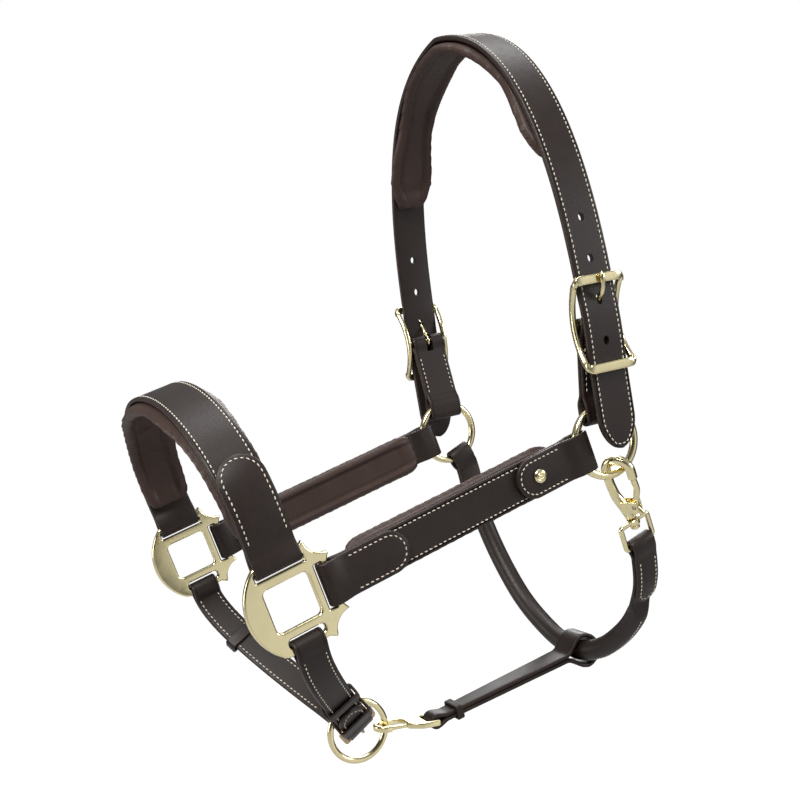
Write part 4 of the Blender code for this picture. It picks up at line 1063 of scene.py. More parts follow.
def jaw_line():
    way = (THROAT_LOW - CLIP_EYE).normalized()
    run = (THROAT_LOW - CLIP_EYE).length
    places = [-10 * MM, 0, run * 0.25, run * 0.5, run * 0.75, run, run + 12 * MM]
    return StrapLine([CLIP_EYE + way * s for s in places], LATERAL)


def fold_reach(width):
    """How near the ring's middle a fold of this width comes, inside the ring."""
    return math.sqrt((RING_RADIUS - RING_WIRE) ** 2 - (width / 2) ** 2) - GAP


# ---------------------------------------------------------------- operators: leather

class HEADCOLLAR_OT_noseband(bpy.types.Operator):
    """The noseband strap, its stitching and its padding."""

    bl_idname = "headcollar.noseband"
    bl_label = "Noseband"

    def execute(self, context):
        line = nose_line()
        width = sizes().nose_width
        tongue = 62 * MM
        s_bar = (SQUARE_EDGE + SLOT_TO) / 2 - 14 * MM
        radius = SQUARE_THICKNESS / 2 + 0.6 * MM + LEATHER / 2
        near = folded_end(s_bar, 1, radius, 0, 12 * MM, LAYER_STEP, tongue, width)
        off = folded_end(line.total - s_bar, -1, radius, 0, 12 * MM, LAYER_STEP, tongue, width)[::-1]
        inner = -LAYER_STEP / 2
        middle = [(s, inner, width) for s in spaced(near[-1][0], off[0][0])]
        strap = leather_item("noseband_leather", line, near + middle + off, LEATHER)
        stand_for(strap, "noseband_strap")
        rows = edge_rows(line, s_bar + tongue - 8 * MM, line.total - s_bar - tongue + 8 * MM,
                         inner, width, LEATHER)
        outer = LAYER_STEP / 2
        rows.append(tongue_row(line, s_bar + 15 * MM, s_bar + tongue, outer, width, LEATHER))
        rows.append(tongue_row(line, line.total - s_bar - 15 * MM, line.total - s_bar - tongue,
                               outer, width, LEATHER))
        sew("noseband_stitching", "noseband_strap", rows)
        thick = sizes().pad_thickness
        out = inner - LEATHER / 2 - GAP - thick / 2
        make_padding("noseband_pad", line, 24 * MM, line.total - 24 * MM, out, NOSE_PAD_WIDTHS, thick)
        return {"FINISHED"}


class HEADCOLLAR_OT_cheeks(bpy.types.Operator):
    """Both cheek straps with their tongues, studs, stitching and padding."""

    bl_idname = "headcollar.cheeks"
    bl_label = "Cheeks"

    def execute(self, context):
        for side, sign in SIDES.items():
            self.make(side, sign)
        return {"FINISHED"}

    def make(self, side, sign):
        line = cheek_line(sign)
        width = sizes().cheek_width
        inner, outer = -LAYER_STEP / 2, LAYER_STEP / 2
        s_square = (SLOT_TO + SQUARE_EDGE) / 2
        ring_fold = RING_WIRE + GAP
        s_ring = line.total - fold_reach(width) - ring_fold
        front_tongue, rear_tongue = 50 * MM, 52 * MM
        front = folded_end(s_square, 1, SQUARE_THICKNESS / 2 + 0.6 * MM + LEATHER / 2, 0, 12 * MM,
                           LAYER_STEP, front_tongue, width)
        rear = folded_end(s_ring, -1, ring_fold + LEATHER / 2, 5.8 * MM, 10 * MM,
                          LAYER_STEP, rear_tongue, width)[::-1]
        middle = [(s, inner, width) for s in spaced(front[-1][0], rear[0][0])]
        strap = leather_item(side + "_cheek_leather", line, front + middle + rear, LEATHER)
        stud_at = s_ring - 36 * MM
        self.make_stud(side, sign, line, stud_at, strap)
        stand_for(strap, side + "_cheek_strap")
        rows = edge_rows(line, s_square + front_tongue - 9 * MM, s_ring - rear_tongue + 9 * MM,
                         inner, width, LEATHER)
        rows.append(tongue_row(line, s_square + 13 * MM, s_square + front_tongue, outer, width, LEATHER))
        rows.append(tongue_row(line, s_ring - 18 * MM, s_ring - rear_tongue, outer, width, LEATHER))
        sew(side + "_cheek_stitching", side + "_cheek_strap", rows)
        thick = sizes().pad_thickness
        make_padding(side + "_cheek_pad", line, s_square + 15 * MM, s_ring - 18 * MM,
                     inner - LEATHER / 2 - GAP - thick / 2, CHEEK_PAD_WIDTHS, thick)

    def make_stud(self, side, sign, line, s, strap):
        """A turned brass stud with a ring pattern, through both layers."""
        outer = LAYER_STEP / 2 + LEATHER / 2
        centre = line.spot(s)
        outward = LATERAL * sign
        hole = [(0, outer + 5 * MM), (1.4 * MM + GAP, outer + 5 * MM),
                (1.4 * MM + GAP, -outer - 1 * MM), (0, -outer - 1 * MM)]
        bore = new_object("stud_hole", turned(hole, centre, outward, 20), "strap")
        cut_or_join(strap, [bore], "DIFFERENCE")
        rings = [(0, 2.3), (0.7, 2.3), (0.9, 2.05), (1.2, 2.05), (1.4, 2.3), (2.1, 2.25), (2.3, 1.95),
                 (2.6, 1.9), (2.85, 2.05), (3.5, 1.8), (4.1, 1.3), (4.4, 0.8), (4.4, 0.5), (4.2, 0.35)]
        profile = [(r * MM, outer + h * MM) for r, h in rings]
        profile += [(1.4 * MM, outer + GAP), (1.4 * MM, -outer + 0.5 * MM), (0, -outer + 0.5 * MM)]
        stud = new_object(side + "_cheek_stud_head", turned(profile, centre, outward, 36), "brass", 50)
        stand_for(stud, side + "_cheek_stud")


class HEADCOLLAR_OT_crown(bpy.types.Operator):
    """The crown strap with its holes, stitching and padding."""

    bl_idname = "headcollar.crown"
    bl_label = "Crown"

    def execute(self, context):
        line = crown_line()
        width = sizes().crown_width
        under, over = -0.25 * MM, 0.6 * MM
        top_bar = BUCKLE_HEIGHT + BUCKLE_HALF_LENGTH
        low_bar = BUCKLE_HEIGHT - BUCKLE_HALF_LENGTH
        heights = [(low_bar - 14 * MM, under), (low_bar, under), (BUCKLE_HEIGHT - 8 * MM, over),
                   (BUCKLE_HEIGHT + 6 * MM, over), (top_bar - 4 * MM, under), (top_bar + 8 * MM, under)]
        keys = [(self.length(line, h, -1), out) for h, out in heights]
        tip = 20 * MM
        near = pointed_tip(0, 1, under, width, tip)
        near += [(s, under, width) for s in spaced(tip, keys[0][0])]
        for (s0, out0), (s1, out1) in zip(keys[:-1], keys[1:]):
            near.append((s0, out0, width))
            near += [(s, smooth_step(out0, out1, (s - s0) / (s1 - s0)), width) for s in spaced(s0, s1)]
        near.append((keys[-1][0], under, width))
        off = [(line.total - s, out, wide) for s, out, wide in reversed(near)]
        middle = [(s, under, width) for s in spaced(near[-1][0], off[0][0])]
        strap = leather_item("crown_leather", line, near + middle + off, CROWN_LEATHER)
        cut_or_join(strap, self.holes(line), "DIFFERENCE")
        stand_for(strap, "crown_strap")
        rows = [self.row(line, near, flipped, width) for flipped in (False, True)]
        sew("crown_stitching", "crown_strap", rows)
        thick = sizes().pad_thickness
        out = under - CROWN_LEATHER / 2 - GAP - thick / 2
        make_padding("crown_pad", line, self.length(line, CROWN_PAD_FROM, -1),
                     self.length(line, CROWN_PAD_FROM, 1), out, CROWN_PAD_WIDTHS, thick)
        return {"FINISHED"}

    def length(self, line, height, sign):
        """Length along the crown to a height above the ring, on either side."""
        s = line.find(height + RING_MIDDLE.dot(UP_CROWN), UP_CROWN)
        return s if sign < 0 else line.total - s

    def row(self, line, near, flipped, width):
        """The row round one half: up one edge, round the point and back up the other edge."""
        inset = sizes().stitch_inset + 0.3 * MM
        lane = [(s, inset - wide / 2, out) for s, out, wide in near
                if wide / 2 - inset > 1 * MM and s > inset]
        lane.insert(0, (max(lane[0][0] - 1.2 * MM, inset * 0.9), 0, lane[0][2]))
        lane += [(s, -(width / 2 - inset), lane[-1][2]) for s in
                 [*spaced(near[-1][0], line.total / 2), line.total / 2]]
        samples = lane[::-1] + [(s, -a, out) for s, a, out in lane[1:]]
        if flipped:
            samples = [(line.total - s, a, out) for s, a, out in samples]
        return row_places(line, samples, CROWN_LEATHER / 2)

    def holes(self, line):
        """Cutters for the adjustment holes; the one in use is a slot for the prong."""
        cutters = []
        for side, sign in SIDES.items():
            for k in range(4):
                height = BUCKLE_HEIGHT + 14 * MM + HOLE_SPACING * (k - 1)
                length = 7.4 * MM if k == 1 else 5.5 * MM
                centre = line.spot(self.length(line, height, sign))
                tangent, across, normal = line.axes(self.length(line, height, sign))
                bm = bmesh.new()
                axes = (across * 2 * MM, tangent * length / 2, normal * 10 * MM)
                place = Matrix(axes).transposed().to_4x4()
                place.translation = centre
                bmesh.ops.create_cone(bm, cap_ends=True, segments=24, radius1=1, radius2=1,
                                      depth=1, matrix=place)
                cutters.append(new_object("hole_cutter_%s_%d" % (side, k), bm, "strap"))
        return cutters


class HEADCOLLAR_OT_chapes(bpy.types.Operator):
    """The doubled leather that joins each crown buckle to its ring."""

    bl_idname = "headcollar.chapes"
    bl_label = "Crown chapes"

    def execute(self, context):
        for side, sign in SIDES.items():
            line = chape_line(sign)
            width = sizes().crown_width - 1 * MM
            radius_low = RING_WIRE + GAP + CHAPE_LEATHER / 2
            s_low = fold_reach(sizes().crown_width) + RING_WIRE + GAP
            s_high = line.find(on_crown(0, BUCKLE_HEIGHT).dot(UP_CROWN), UP_CROWN)
            radius_high = BUCKLE_BAR + GAP + CHAPE_LEATHER / 2
            route = chape_route(s_low, radius_low, 6 * MM, s_high, radius_high, CHAPE_STEP, width)
            chape = leather_item(side + "_chape_leather", line, route, CHAPE_LEATHER)
            bm = bmesh.new()
            bmesh.ops.create_cube(bm, size=1)
            place = Matrix((ACROSS_CROWN * 5.4 * MM, LATERAL * 22 * MM, UP_CROWN * 18 * MM))
            place = place.transposed().to_4x4()
            place.translation = on_crown(sign * 112 * MM, BUCKLE_HEIGHT + 1 * MM)
            bmesh.ops.transform(bm, matrix=place, verts=bm.verts)
            cut_or_join(chape, [new_object("chape_slot", bm, "strap")], "DIFFERENCE")
            stand_for(chape, side + "_crown_chape")
            rows = edge_rows(line, s_low + 16 * MM, s_high - 13 * MM, CHAPE_STEP / 2, width, CHAPE_LEATHER)
            rows += edge_rows(line, s_low + 16 * MM, s_high - 13 * MM, -CHAPE_STEP / 2, width, -CHAPE_LEATHER)
            sew(side + "_chape_stitching", side + "_crown_chape", rows)
        return {"FINISHED"}


def keeper(name, line, s, low, high, width, band, length):
    """A leather loop round a strap, from low to high above its line."""
    a = width / 2 + KEEPER_GAP + band / 2
    n0, n1 = low - KEEPER_GAP - band / 2, high + KEEPER_GAP + band / 2
    tangent, across, normal = line.axes(s)
    r = 1.6 * MM
    outline = []
    corners = ((a - r, n1 - r, 0), (-a + r, n1 - r, 90), (-a + r, n0 + r, 180), (a - r, n0 + r, 270))
    for cx, cn, start in corners:
        for k in range(5):
            angle = math.radians(start + 22.5 * k)
            outline.append((cx + r * math.cos(angle), cn + r * math.sin(angle)))
    point = line.spot(s)
    stations = [(point + across * x + normal * n, tangent, leather_section(length, band)) for x, n in outline]
    item = new_object(name + "_leather", sweep(stations, True), "strap")
    return stand_for(item, name)


class HEADCOLLAR_OT_chin(bpy.types.Operator):
    """The chin strap, its chape and its keepers."""

    bl_idname = "headcollar.chin"
    bl_label = "Chin strap"

    def execute(self, context):
        line = chin_line()
        width = sizes().chin_width
        middle = line.total / 2
        bar = middle - CHIN_END_BAR - CHIN_BUCKLE_LENGTH
        fold = CHIN_BUCKLE_WIRE + GAP + CHIN_LEATHER / 2
        top, billet = fold + CHIN_STEP, CHIN_STEP * 1.5
        s_bar = 10 * MM
        radius = SQUARE_THICKNESS / 2 + 1.1 * MM + CHIN_LEATHER / 2
        inner = -CHIN_STEP / 2
        off = folded_end(line.total - s_bar, -1, radius, 0, 10 * MM, CHIN_STEP, 52 * MM, width)
        end_bar = middle - CHIN_END_BAR
        path = off + [(s, inner, width) for s in spaced(off[-1][0], middle + 26 * MM)]
        path += [(middle + 26 * MM, inner, width)]
        path += eased(middle + 26 * MM, middle + 10 * MM, inner, 0, width)
        path += [(s, 0, width) for s in spaced(middle + 10 * MM, middle)] + [(middle, 0, width)]
        path += eased(middle, end_bar, 0, 0.8 * MM, width, 5)
        path += eased(end_bar, bar + 4 * MM, 0.8 * MM, top, width)
        path += [(bar + 1 * MM, top, width), (bar - 2 * MM, top, width)]
        path += eased(bar - 2 * MM, bar - 12 * MM, top, billet, width)
        path += [(s, billet, width) for s in spaced(bar - 12 * MM, bar - 30 * MM)]
        path += pointed_tip(bar - 44 * MM, 1, billet, width, 14 * MM)[::-1]
        strap = leather_item("chin_leather", line, path, CHIN_LEATHER)
        tangent, across, normal = line.axes(bar + 10 * MM)
        bm = bmesh.new()
        place = Matrix((across * 2 * MM, tangent * 4.5 * MM, normal * 24 * MM)).transposed().to_4x4()
        place.translation = line.spot(bar + 10 * MM)
        bmesh.ops.create_cone(bm, cap_ends=True, segments=24, radius1=1, radius2=1, depth=1, matrix=place)
        cut_or_join(strap, [new_object("chin_hole", bm, "strap")], "DIFFERENCE")
        stand_for(strap, "chin_strap")
        far = line.total - s_bar
        rows = edge_rows(line, middle + 28 * MM, far - 50 * MM, inner, width, CHIN_LEATHER)
        rows += edge_rows(line, middle + 28 * MM, far - 8 * MM, inner, width, -CHIN_LEATHER)
        rows.append(tongue_row(line, far - 12 * MM, far - 52 * MM, CHIN_STEP / 2, width, CHIN_LEATHER))
        rows.append(tongue_row(line, bar - 24 * MM, bar - 44 * MM, billet, width, CHIN_LEATHER,
                               "point", 14 * MM))
        sew("chin_stitching", "chin_strap", rows)
        route = chape_route(s_bar, radius, 0, bar, fold, CHIN_STEP, width)
        chape = leather_item("chin_chape_leather", line, route, CHIN_LEATHER)
        tangent, across, normal = line.axes(bar)
        bm = bmesh.new()
        bmesh.ops.create_cube(bm, size=1)
        place = Matrix((across * 4.6 * MM, normal * 16 * MM, tangent * 16 * MM)).transposed().to_4x4()
        place.translation = line.spot(bar + 1 * MM)
        bmesh.ops.transform(bm, matrix=place, verts=bm.verts)
        cut_or_join(chape, [new_object("chin_slot", bm, "strap")], "DIFFERENCE")
        stand_for(chape, "chin_chape")
        sew("chin_chape_stitching", "chin_chape",
            edge_rows(line, s_bar + 7 * MM, bar - 38 * MM, CHIN_STEP / 2, width, CHIN_LEATHER))
        half = CHIN_LEATHER / 2
        doubled = CHIN_STEP / 2 + half
        keeper("chin_running_keeper", line, bar - 22 * MM, -doubled, billet + half, width, 1.6 * MM, 12 * MM)
        keeper("near_chin_keeper", line, bar - 52 * MM, -doubled, doubled, width, 1.6 * MM, 7 * MM)
        keeper("off_chin_keeper", line, line.total - 56 * MM, -doubled, doubled, width, 1.6 * MM, 8 * MM)
        return {"FINISHED"}


class HEADCOLLAR_OT_throat(bpy.types.Operator):
    """The rolled throat strap with its flat folded ends."""

    bl_idname = "headcollar.throat"
    bl_label = "Throat strap"

    def execute(self, context):
        line = throat_line()
        width = sizes().throat_width
        inner, outer = -LAYER_STEP / 2, LAYER_STEP / 2
        eye_fold = SNAP_EYE_WIRE + GAP + 0.15 * MM + LEATHER / 2
        tongue_near, tongue_off = 46 * MM, 44 * MM
        near = folded_end(10 * MM, 1, eye_fold, 0, 10 * MM, LAYER_STEP, tongue_near, width)
        ring_fold = RING_WIRE + GAP
        s_ring = line.total - (fold_reach(width) - 6 * MM) - ring_fold
        off = folded_end(s_ring, -1, ring_fold + LEATHER / 2, 4 * MM, 10 * MM, LAYER_STEP,
                         tongue_off, width)[::-1]
        s_roll = 10 * MM + tongue_near + 1.5 * MM
        s_flat = s_ring - tongue_off - 1.5 * MM
        turn = 14 * MM
        thick = 2 * ROLL_RADIUS
        route = [(s, out, wide, LEATHER) for s, out, wide in near]
        route += [(s, inner, width, LEATHER) for s in spaced(near[-1][0], s_roll)]
        morph = []
        for k in range(9):
            grown = smooth_step(0, 1, k / 8)
            morph.append((k / 8, inner * (1 - grown), width + (thick - width) * grown,
                          LEATHER + (thick - LEATHER) * grown))
        route += [(s_roll + turn * part, out, wide, deep) for part, out, wide, deep in morph]
        route += [(s, 0, thick, thick) for s in spaced(s_roll + turn, s_flat - turn)]
        route += [(s_flat - turn * part, out, wide, deep) for part, out, wide, deep in reversed(morph)]
        route += [(s, inner, width, LEATHER) for s in spaced(s_flat, off[0][0])]
        route += [(s, out, wide, LEATHER) for s, out, wide in off]
        stations = []
        for s, out, wide, deep in route:
            _, across, _ = line.axes(s)
            stations.append((line.spot(s, 0, out), across, round_section(wide, deep)))
        strap = new_object("throat_leather", sweep(stations), "strap")
        stand_for(strap, "throat_strap")
        rows = [tongue_row(line, 22 * MM, 10 * MM + tongue_near, outer, width, LEATHER),
                tongue_row(line, s_ring - 16 * MM, s_ring - tongue_off, outer, width, LEATHER)]
        rolled = []
        for s in [s_roll + turn, *spaced(s_roll + turn, s_flat - turn)]:
            _, across, normal = line.axes(s)
            way = (normal * 0.95 - across * 0.3).normalized()
            rolled.append((line.spot(s) + way * ROLL_RADIUS, way))
        rows.append(rolled)
        sew("throat_stitching", "throat_strap", rows)
        return {"FINISHED"}


class HEADCOLLAR_OT_jaw(bpy.types.Operator):
    """The jaw strap, which loops round the throat roll and holds the chin clip."""

    bl_idname = "headcollar.jaw"
    bl_label = "Jaw strap"

    def execute(self, context):
        line = jaw_line()
        s_eye, s_roll = 10 * MM, line.total - 12 * MM
        eye_fold = CLIP_THICKNESS / 2 + 0.9 * MM + LEATHER / 2
        roll_fold = ROLL_RADIUS + 2.8 * MM + LEATHER / 2
        route = chape_route(s_eye, eye_fold, 0, s_roll, roll_fold, LAYER_STEP, 1, 16 * MM)
        shaped = []
        for s, out, _ in route:
            part = min(max((s - s_eye) / (s_roll - s_eye), 0), 1)
            shaped.append((s, out, (12.4 + 8 * part) * MM))
        strap = leather_item("jaw_leather", line, shaped, LEATHER)
        stand_for(strap, "jaw_strap")
        half = LAYER_STEP / 2 + LEATHER / 2
        keeper("jaw_keeper", line, s_eye + 17 * MM, -half, half, 14 * MM, 1.4 * MM, 5 * MM)
        return {"FINISHED"}


# ---------------------------------------------------------------- brass castings

def arc_points(centre, radius, start, end, steps):
    points = []
    for k in range(steps + 1):
        angle = math.radians(start + (end - start) * k / steps)
        points.append((centre[0] + radius * math.cos(angle), centre[1] + radius * math.sin(angle)))
    return points


def rounded_box(u0, u1, v0, v1, radius, steps=6):
    corners = [((u1 - radius, v1 - radius), 0), ((u0 + radius, v1 - radius), 90),
               ((u0 + radius, v0 + radius), 180), ((u1 - radius, v0 + radius), 270)]
    points = []
    for centre, start in corners:
        points += arc_points(centre, radius, start, start + 90, steps)
    return points


def casting(name, outline, holes, thickness, rounding, place):
    """A flat casting: outline and holes in (u, v), thickened both ways, with rounded rims."""
    bm = bmesh.new()
    for loop in [outline, *holes]:
        verts = [bm.verts.new((u, v, -thickness / 2)) for u, v in loop]
        for a, b in zip(verts, verts[1:] + verts[:1]):
            bm.edges.new((a, b))
    bmesh.ops.triangle_fill(bm, edges=bm.edges, use_beauty=True)
    made = bmesh.ops.extrude_face_region(bm, geom=bm.faces[:], use_keep_orig=True)["geom"]
    lifted = [part for part in made if isinstance(part, bmesh.types.BMVert)]
    bmesh.ops.translate(bm, verts=lifted, vec=(0, 0, thickness))
    bmesh.ops.recalc_face_normals(bm, faces=bm.faces)
    rims = [edge for edge in bm.edges if edge.calc_face_angle(0) > 1.2
            and abs(edge.verts[0].co.z - edge.verts[1].co.z) < thickness / 2]
    bmesh.ops.bevel(bm, geom=rims, offset=rounding, segments=6, profile=0.5, affect="EDGES",
                    material=-1, clamp_overlap=True)
    bmesh.ops.transform(bm, matrix=place, verts=bm.verts)
    item = new_object(name, bm, "brass", 60)
    item.modifiers.new("weighted", "WEIGHTED_NORMAL").keep_sharp = True
    apply_modifiers(item)
    return item


class HEADCOLLAR_OT_squares(bpy.types.Operator):
    """The two cast squares at the nose."""

    bl_idname = "headcollar.squares"
    bl_label = "Squares"

    def execute(self, context):
        edge, tip = SQUARE_EDGE, 29 * MM
        outline = arc_points((6 * MM, 0), 33 * MM, 128, 232, 36)
        outline += [(-11 * MM, -edge - 0.6 * MM), (13 * MM, -edge), (17 * MM, -tip)]
        outline += arc_points((tip, -tip), 11.5 * MM, 172, 98, 14)
        outline += [(tip, -17 * MM), (edge, -13 * MM), (edge, 13 * MM), (tip, 17 * MM)]
        outline += arc_points((tip, tip), 11.5 * MM, 262, 188, 14)
        outline += [(17 * MM, tip), (13 * MM, edge), (-11 * MM, edge + 0.6 * MM)]
        holes = [rounded_box(-WINDOW_U, WINDOW_U, -WINDOW_V, WINDOW_V, 3 * MM),
                 rounded_box(-SLOT_HALF, SLOT_HALF, SLOT_FROM, SLOT_TO, 0.6 * MM),
                 rounded_box(SLOT_FROM, SLOT_TO, -13.4 * MM, 13.4 * MM, 0.6 * MM),
                 rounded_box(-10 * MM, 12 * MM, -SLOT_TO, -SLOT_FROM + 0.4 * MM, 2 * MM)]
        for side, sign in SIDES.items():
            place = Matrix((ALONG_CHEEK, UP_NOSE, -LATERAL)).transposed().to_4x4()
            place.translation = SQUARE_MIDDLE + LATERAL * sign * HALF_SPREAD
            stand_for(casting(side + "_square_casting", outline, holes, SQUARE_THICKNESS, 1.85 * MM, place),
                      side + "_square")
        return {"FINISHED"}


class HEADCOLLAR_OT_rings(bpy.types.Operator):
    """The two big rings and the chin ring."""

    bl_idname = "headcollar.rings"
    bl_label = "Rings"

    def execute(self, context):
        for side in SIDES:
            centre = joint_place(side + "_ring_turn")
            ring = torus(side + "_ring_wire", centre, LATERAL, RING_RADIUS, RING_WIRE)
            stand_for(ring, side + "_ring")
        ring = torus("chin_ring_wire", CHIN_RING_CENTRE, LATERAL, CHIN_RING_RADIUS, CHIN_RING_WIRE)
        stand_for(ring, "chin_ring")
        return {"FINISHED"}


class HEADCOLLAR_OT_buckles(bpy.types.Operator):
    """The crown buckles with their prongs."""

    bl_idname = "headcollar.buckles"
    bl_label = "Crown buckles"

    def execute(self, context):
        for side, sign in SIDES.items():
            self.make_frame(side, sign)
            self.make_prong(side, sign)
        return {"FINISHED"}

    def spot(self, sign, across, height, out):
        return on_crown(sign * (BUCKLE_SPREAD + out), BUCKLE_HEIGHT + height) + ACROSS_CROWN * across

    def make_frame(self, side, sign):
        half, wide, corner = BUCKLE_HALF_LENGTH, BUCKLE_HALF_WIDTH, 4 * MM
        quarter = []
        for k in range(0, 13):
            height = (half - corner) * k / 12
            bow = (height / half) ** 2
            quarter.append((wide - 1.2 * MM * (1 - bow), height,
                            -BUCKLE_BAR_IN + (BUCKLE_BAR_IN + BUCKLE_OUT) * bow))
        for k in range(1, 8):
            angle = math.pi / 2 * k / 8
            quarter.append((wide - corner + corner * math.cos(angle),
                            half - corner + corner * math.sin(angle),
                            BUCKLE_OUT - 1.4 * MM * (1 - k / 8)))
        quarter += [((wide - corner) * (1 - k / 5), half, BUCKLE_OUT) for k in range(6)]
        top = quarter + [(-a, h, o) for a, h, o in reversed(quarter[:-1])]
        loop = top + [(a, -h, o) for a, h, o in reversed(top[1:-1])]
        stations = []
        for across, height, out in loop:
            share = smooth_step(0, 1, min(max((abs(height) - half + 3.2 * MM) / (3 * MM), 0), 1))
            share *= smooth_step(0, 1, min(max((wide + 0.5 * MM - abs(across)) / (3 * MM), 0), 1))
            thick = (4.0 + 0.1 * share) * MM
            broad = (3.3 + 2.5 * share) * MM
            inward = math.copysign(0.9 * MM * share, height)
            stations.append((self.spot(sign, across, height - inward, out), LATERAL,
                             oval_section(thick, broad, 0.7 - 0.36 * share, 20)))
        body = new_object(side + "_buckle_frame", sweep(stations, True), "brass", 60)
        reach = wide - 1.2 * MM
        ends = [self.spot(sign, -reach * k, 0, -BUCKLE_BAR_IN) for k in (1, 0.5, 0, -0.5, -1)]
        cut_or_join(body, [rod("bar", ends, BUCKLE_BAR, LATERAL)], "UNION")
        stand_for(body, side + "_crown_buckle")

    def make_prong(self, side, sign):
        centre = self.spot(sign, 0, 0, -BUCKLE_BAR_IN)
        eye_radius = BUCKLE_BAR + GAP + PRONG_WIRE
        eye = torus(side + "_buckle_prong", centre, ACROSS_CROWN, eye_radius, PRONG_WIRE, "brass", 36, 12)
        top = BUCKLE_HALF_LENGTH
        tip_wire = 1.55 * MM
        rest = BUCKLE_OUT + BUCKLE_WIRE + tip_wire + GAP
        knots = [(eye_radius - 0.4 * MM, -BUCKLE_BAR_IN), (eye_radius + 4 * MM, -BUCKLE_BAR_IN + 0.8 * MM),
                 (13.5 * MM, 0), (18.5 * MM, rest - 2.2 * MM), (top - 3 * MM, rest), (top + 2.6 * MM, rest)]
        points = through_points([self.spot(sign, 0, h, out) for h, out in knots], 5)
        last = len(points) - 1
        radii = [smooth_step(PRONG_WIRE, tip_wire, min(k / last * 1.5, 1)) for k in range(last - 1)]
        radii += [tip_wire * 0.85, tip_wire * 0.45]
        cut_or_join(eye, [rod("shank", points, radii, ACROSS_CROWN)], "UNION")
        stand_for(eye, side + "_crown_prong")


class HEADCOLLAR_OT_chin_buckle(bpy.types.Operator):
    """The dull chin buckle and its prong."""

    bl_idname = "headcollar.chin_buckle"
    bl_label = "Chin buckle"

    def execute(self, context):
        line = chin_line()
        width = sizes().chin_width
        bar = line.total / 2 - CHIN_END_BAR - CHIN_BUCKLE_LENGTH
        end = line.total / 2 - CHIN_END_BAR
        half = width / 2 + GAP + CHIN_BUCKLE_WIRE + 0.3 * MM
        end_out = 1.3 * MM + CHIN_LEATHER / 2 + GAP + CHIN_BUCKLE_WIRE
        keys = [(0.0, 1.0), (0.3, 1.0), (0.6, 1.0), (0.85, 0.97), (0.95, 0.85), (1.0, 0.6)]
        side_points = [Vector((bar + (end - bar) * part, end_out * min(part / 0.8, 1), half * wide))
                       for part, wide in keys]
        side_points = through_points(side_points, 4)
        loop = [(p.x, p.y, -p.z) for p in side_points]
        loop += [(end, end_out, side_points[-1].z * k) for k in (-0.5, 0, 0.5)]
        loop += [(p.x, p.y, p.z) for p in reversed(side_points)]
        loop += [(bar, 0, half * k) for k in (0.5, 0, -0.5)]
        stations = []
        for s, out, aside in loop:
            _, _, normal = line.axes(s)
            size = 2 * CHIN_BUCKLE_WIRE
            stations.append((line.spot(s, aside, out), normal, oval_section(size, size, 0.8, 14)))
        frame_item = new_object("chin_buckle_frame", sweep(stations, True), "antique", 60)
        stand_for(frame_item, "chin_buckle")
        wire = 1 * MM
        eye_radius = CHIN_BUCKLE_WIRE + GAP + wire
        _, across, _ = line.axes(bar)
        eye = torus("chin_buckle_prong", line.spot(bar), across, eye_radius, wire, "antique", 32, 12)
        rest = end_out + CHIN_BUCKLE_WIRE + GAP + wire
        length = CHIN_BUCKLE_LENGTH
        knots = [(eye_radius - 0.3 * MM, 0), (6 * MM, 1 * MM), (10.5 * MM, 4.2 * MM),
                 (16 * MM, rest - 0.4 * MM), (length - 2 * MM, rest), (length + 2.6 * MM, rest)]
        points = through_points([line.spot(bar + s, 0, out) for s, out in knots], 5)
        cut_or_join(eye, [rod("shank", points, wire, across, "antique")], "UNION")
        stand_for(eye, "chin_prong")
        return {"FINISHED"}


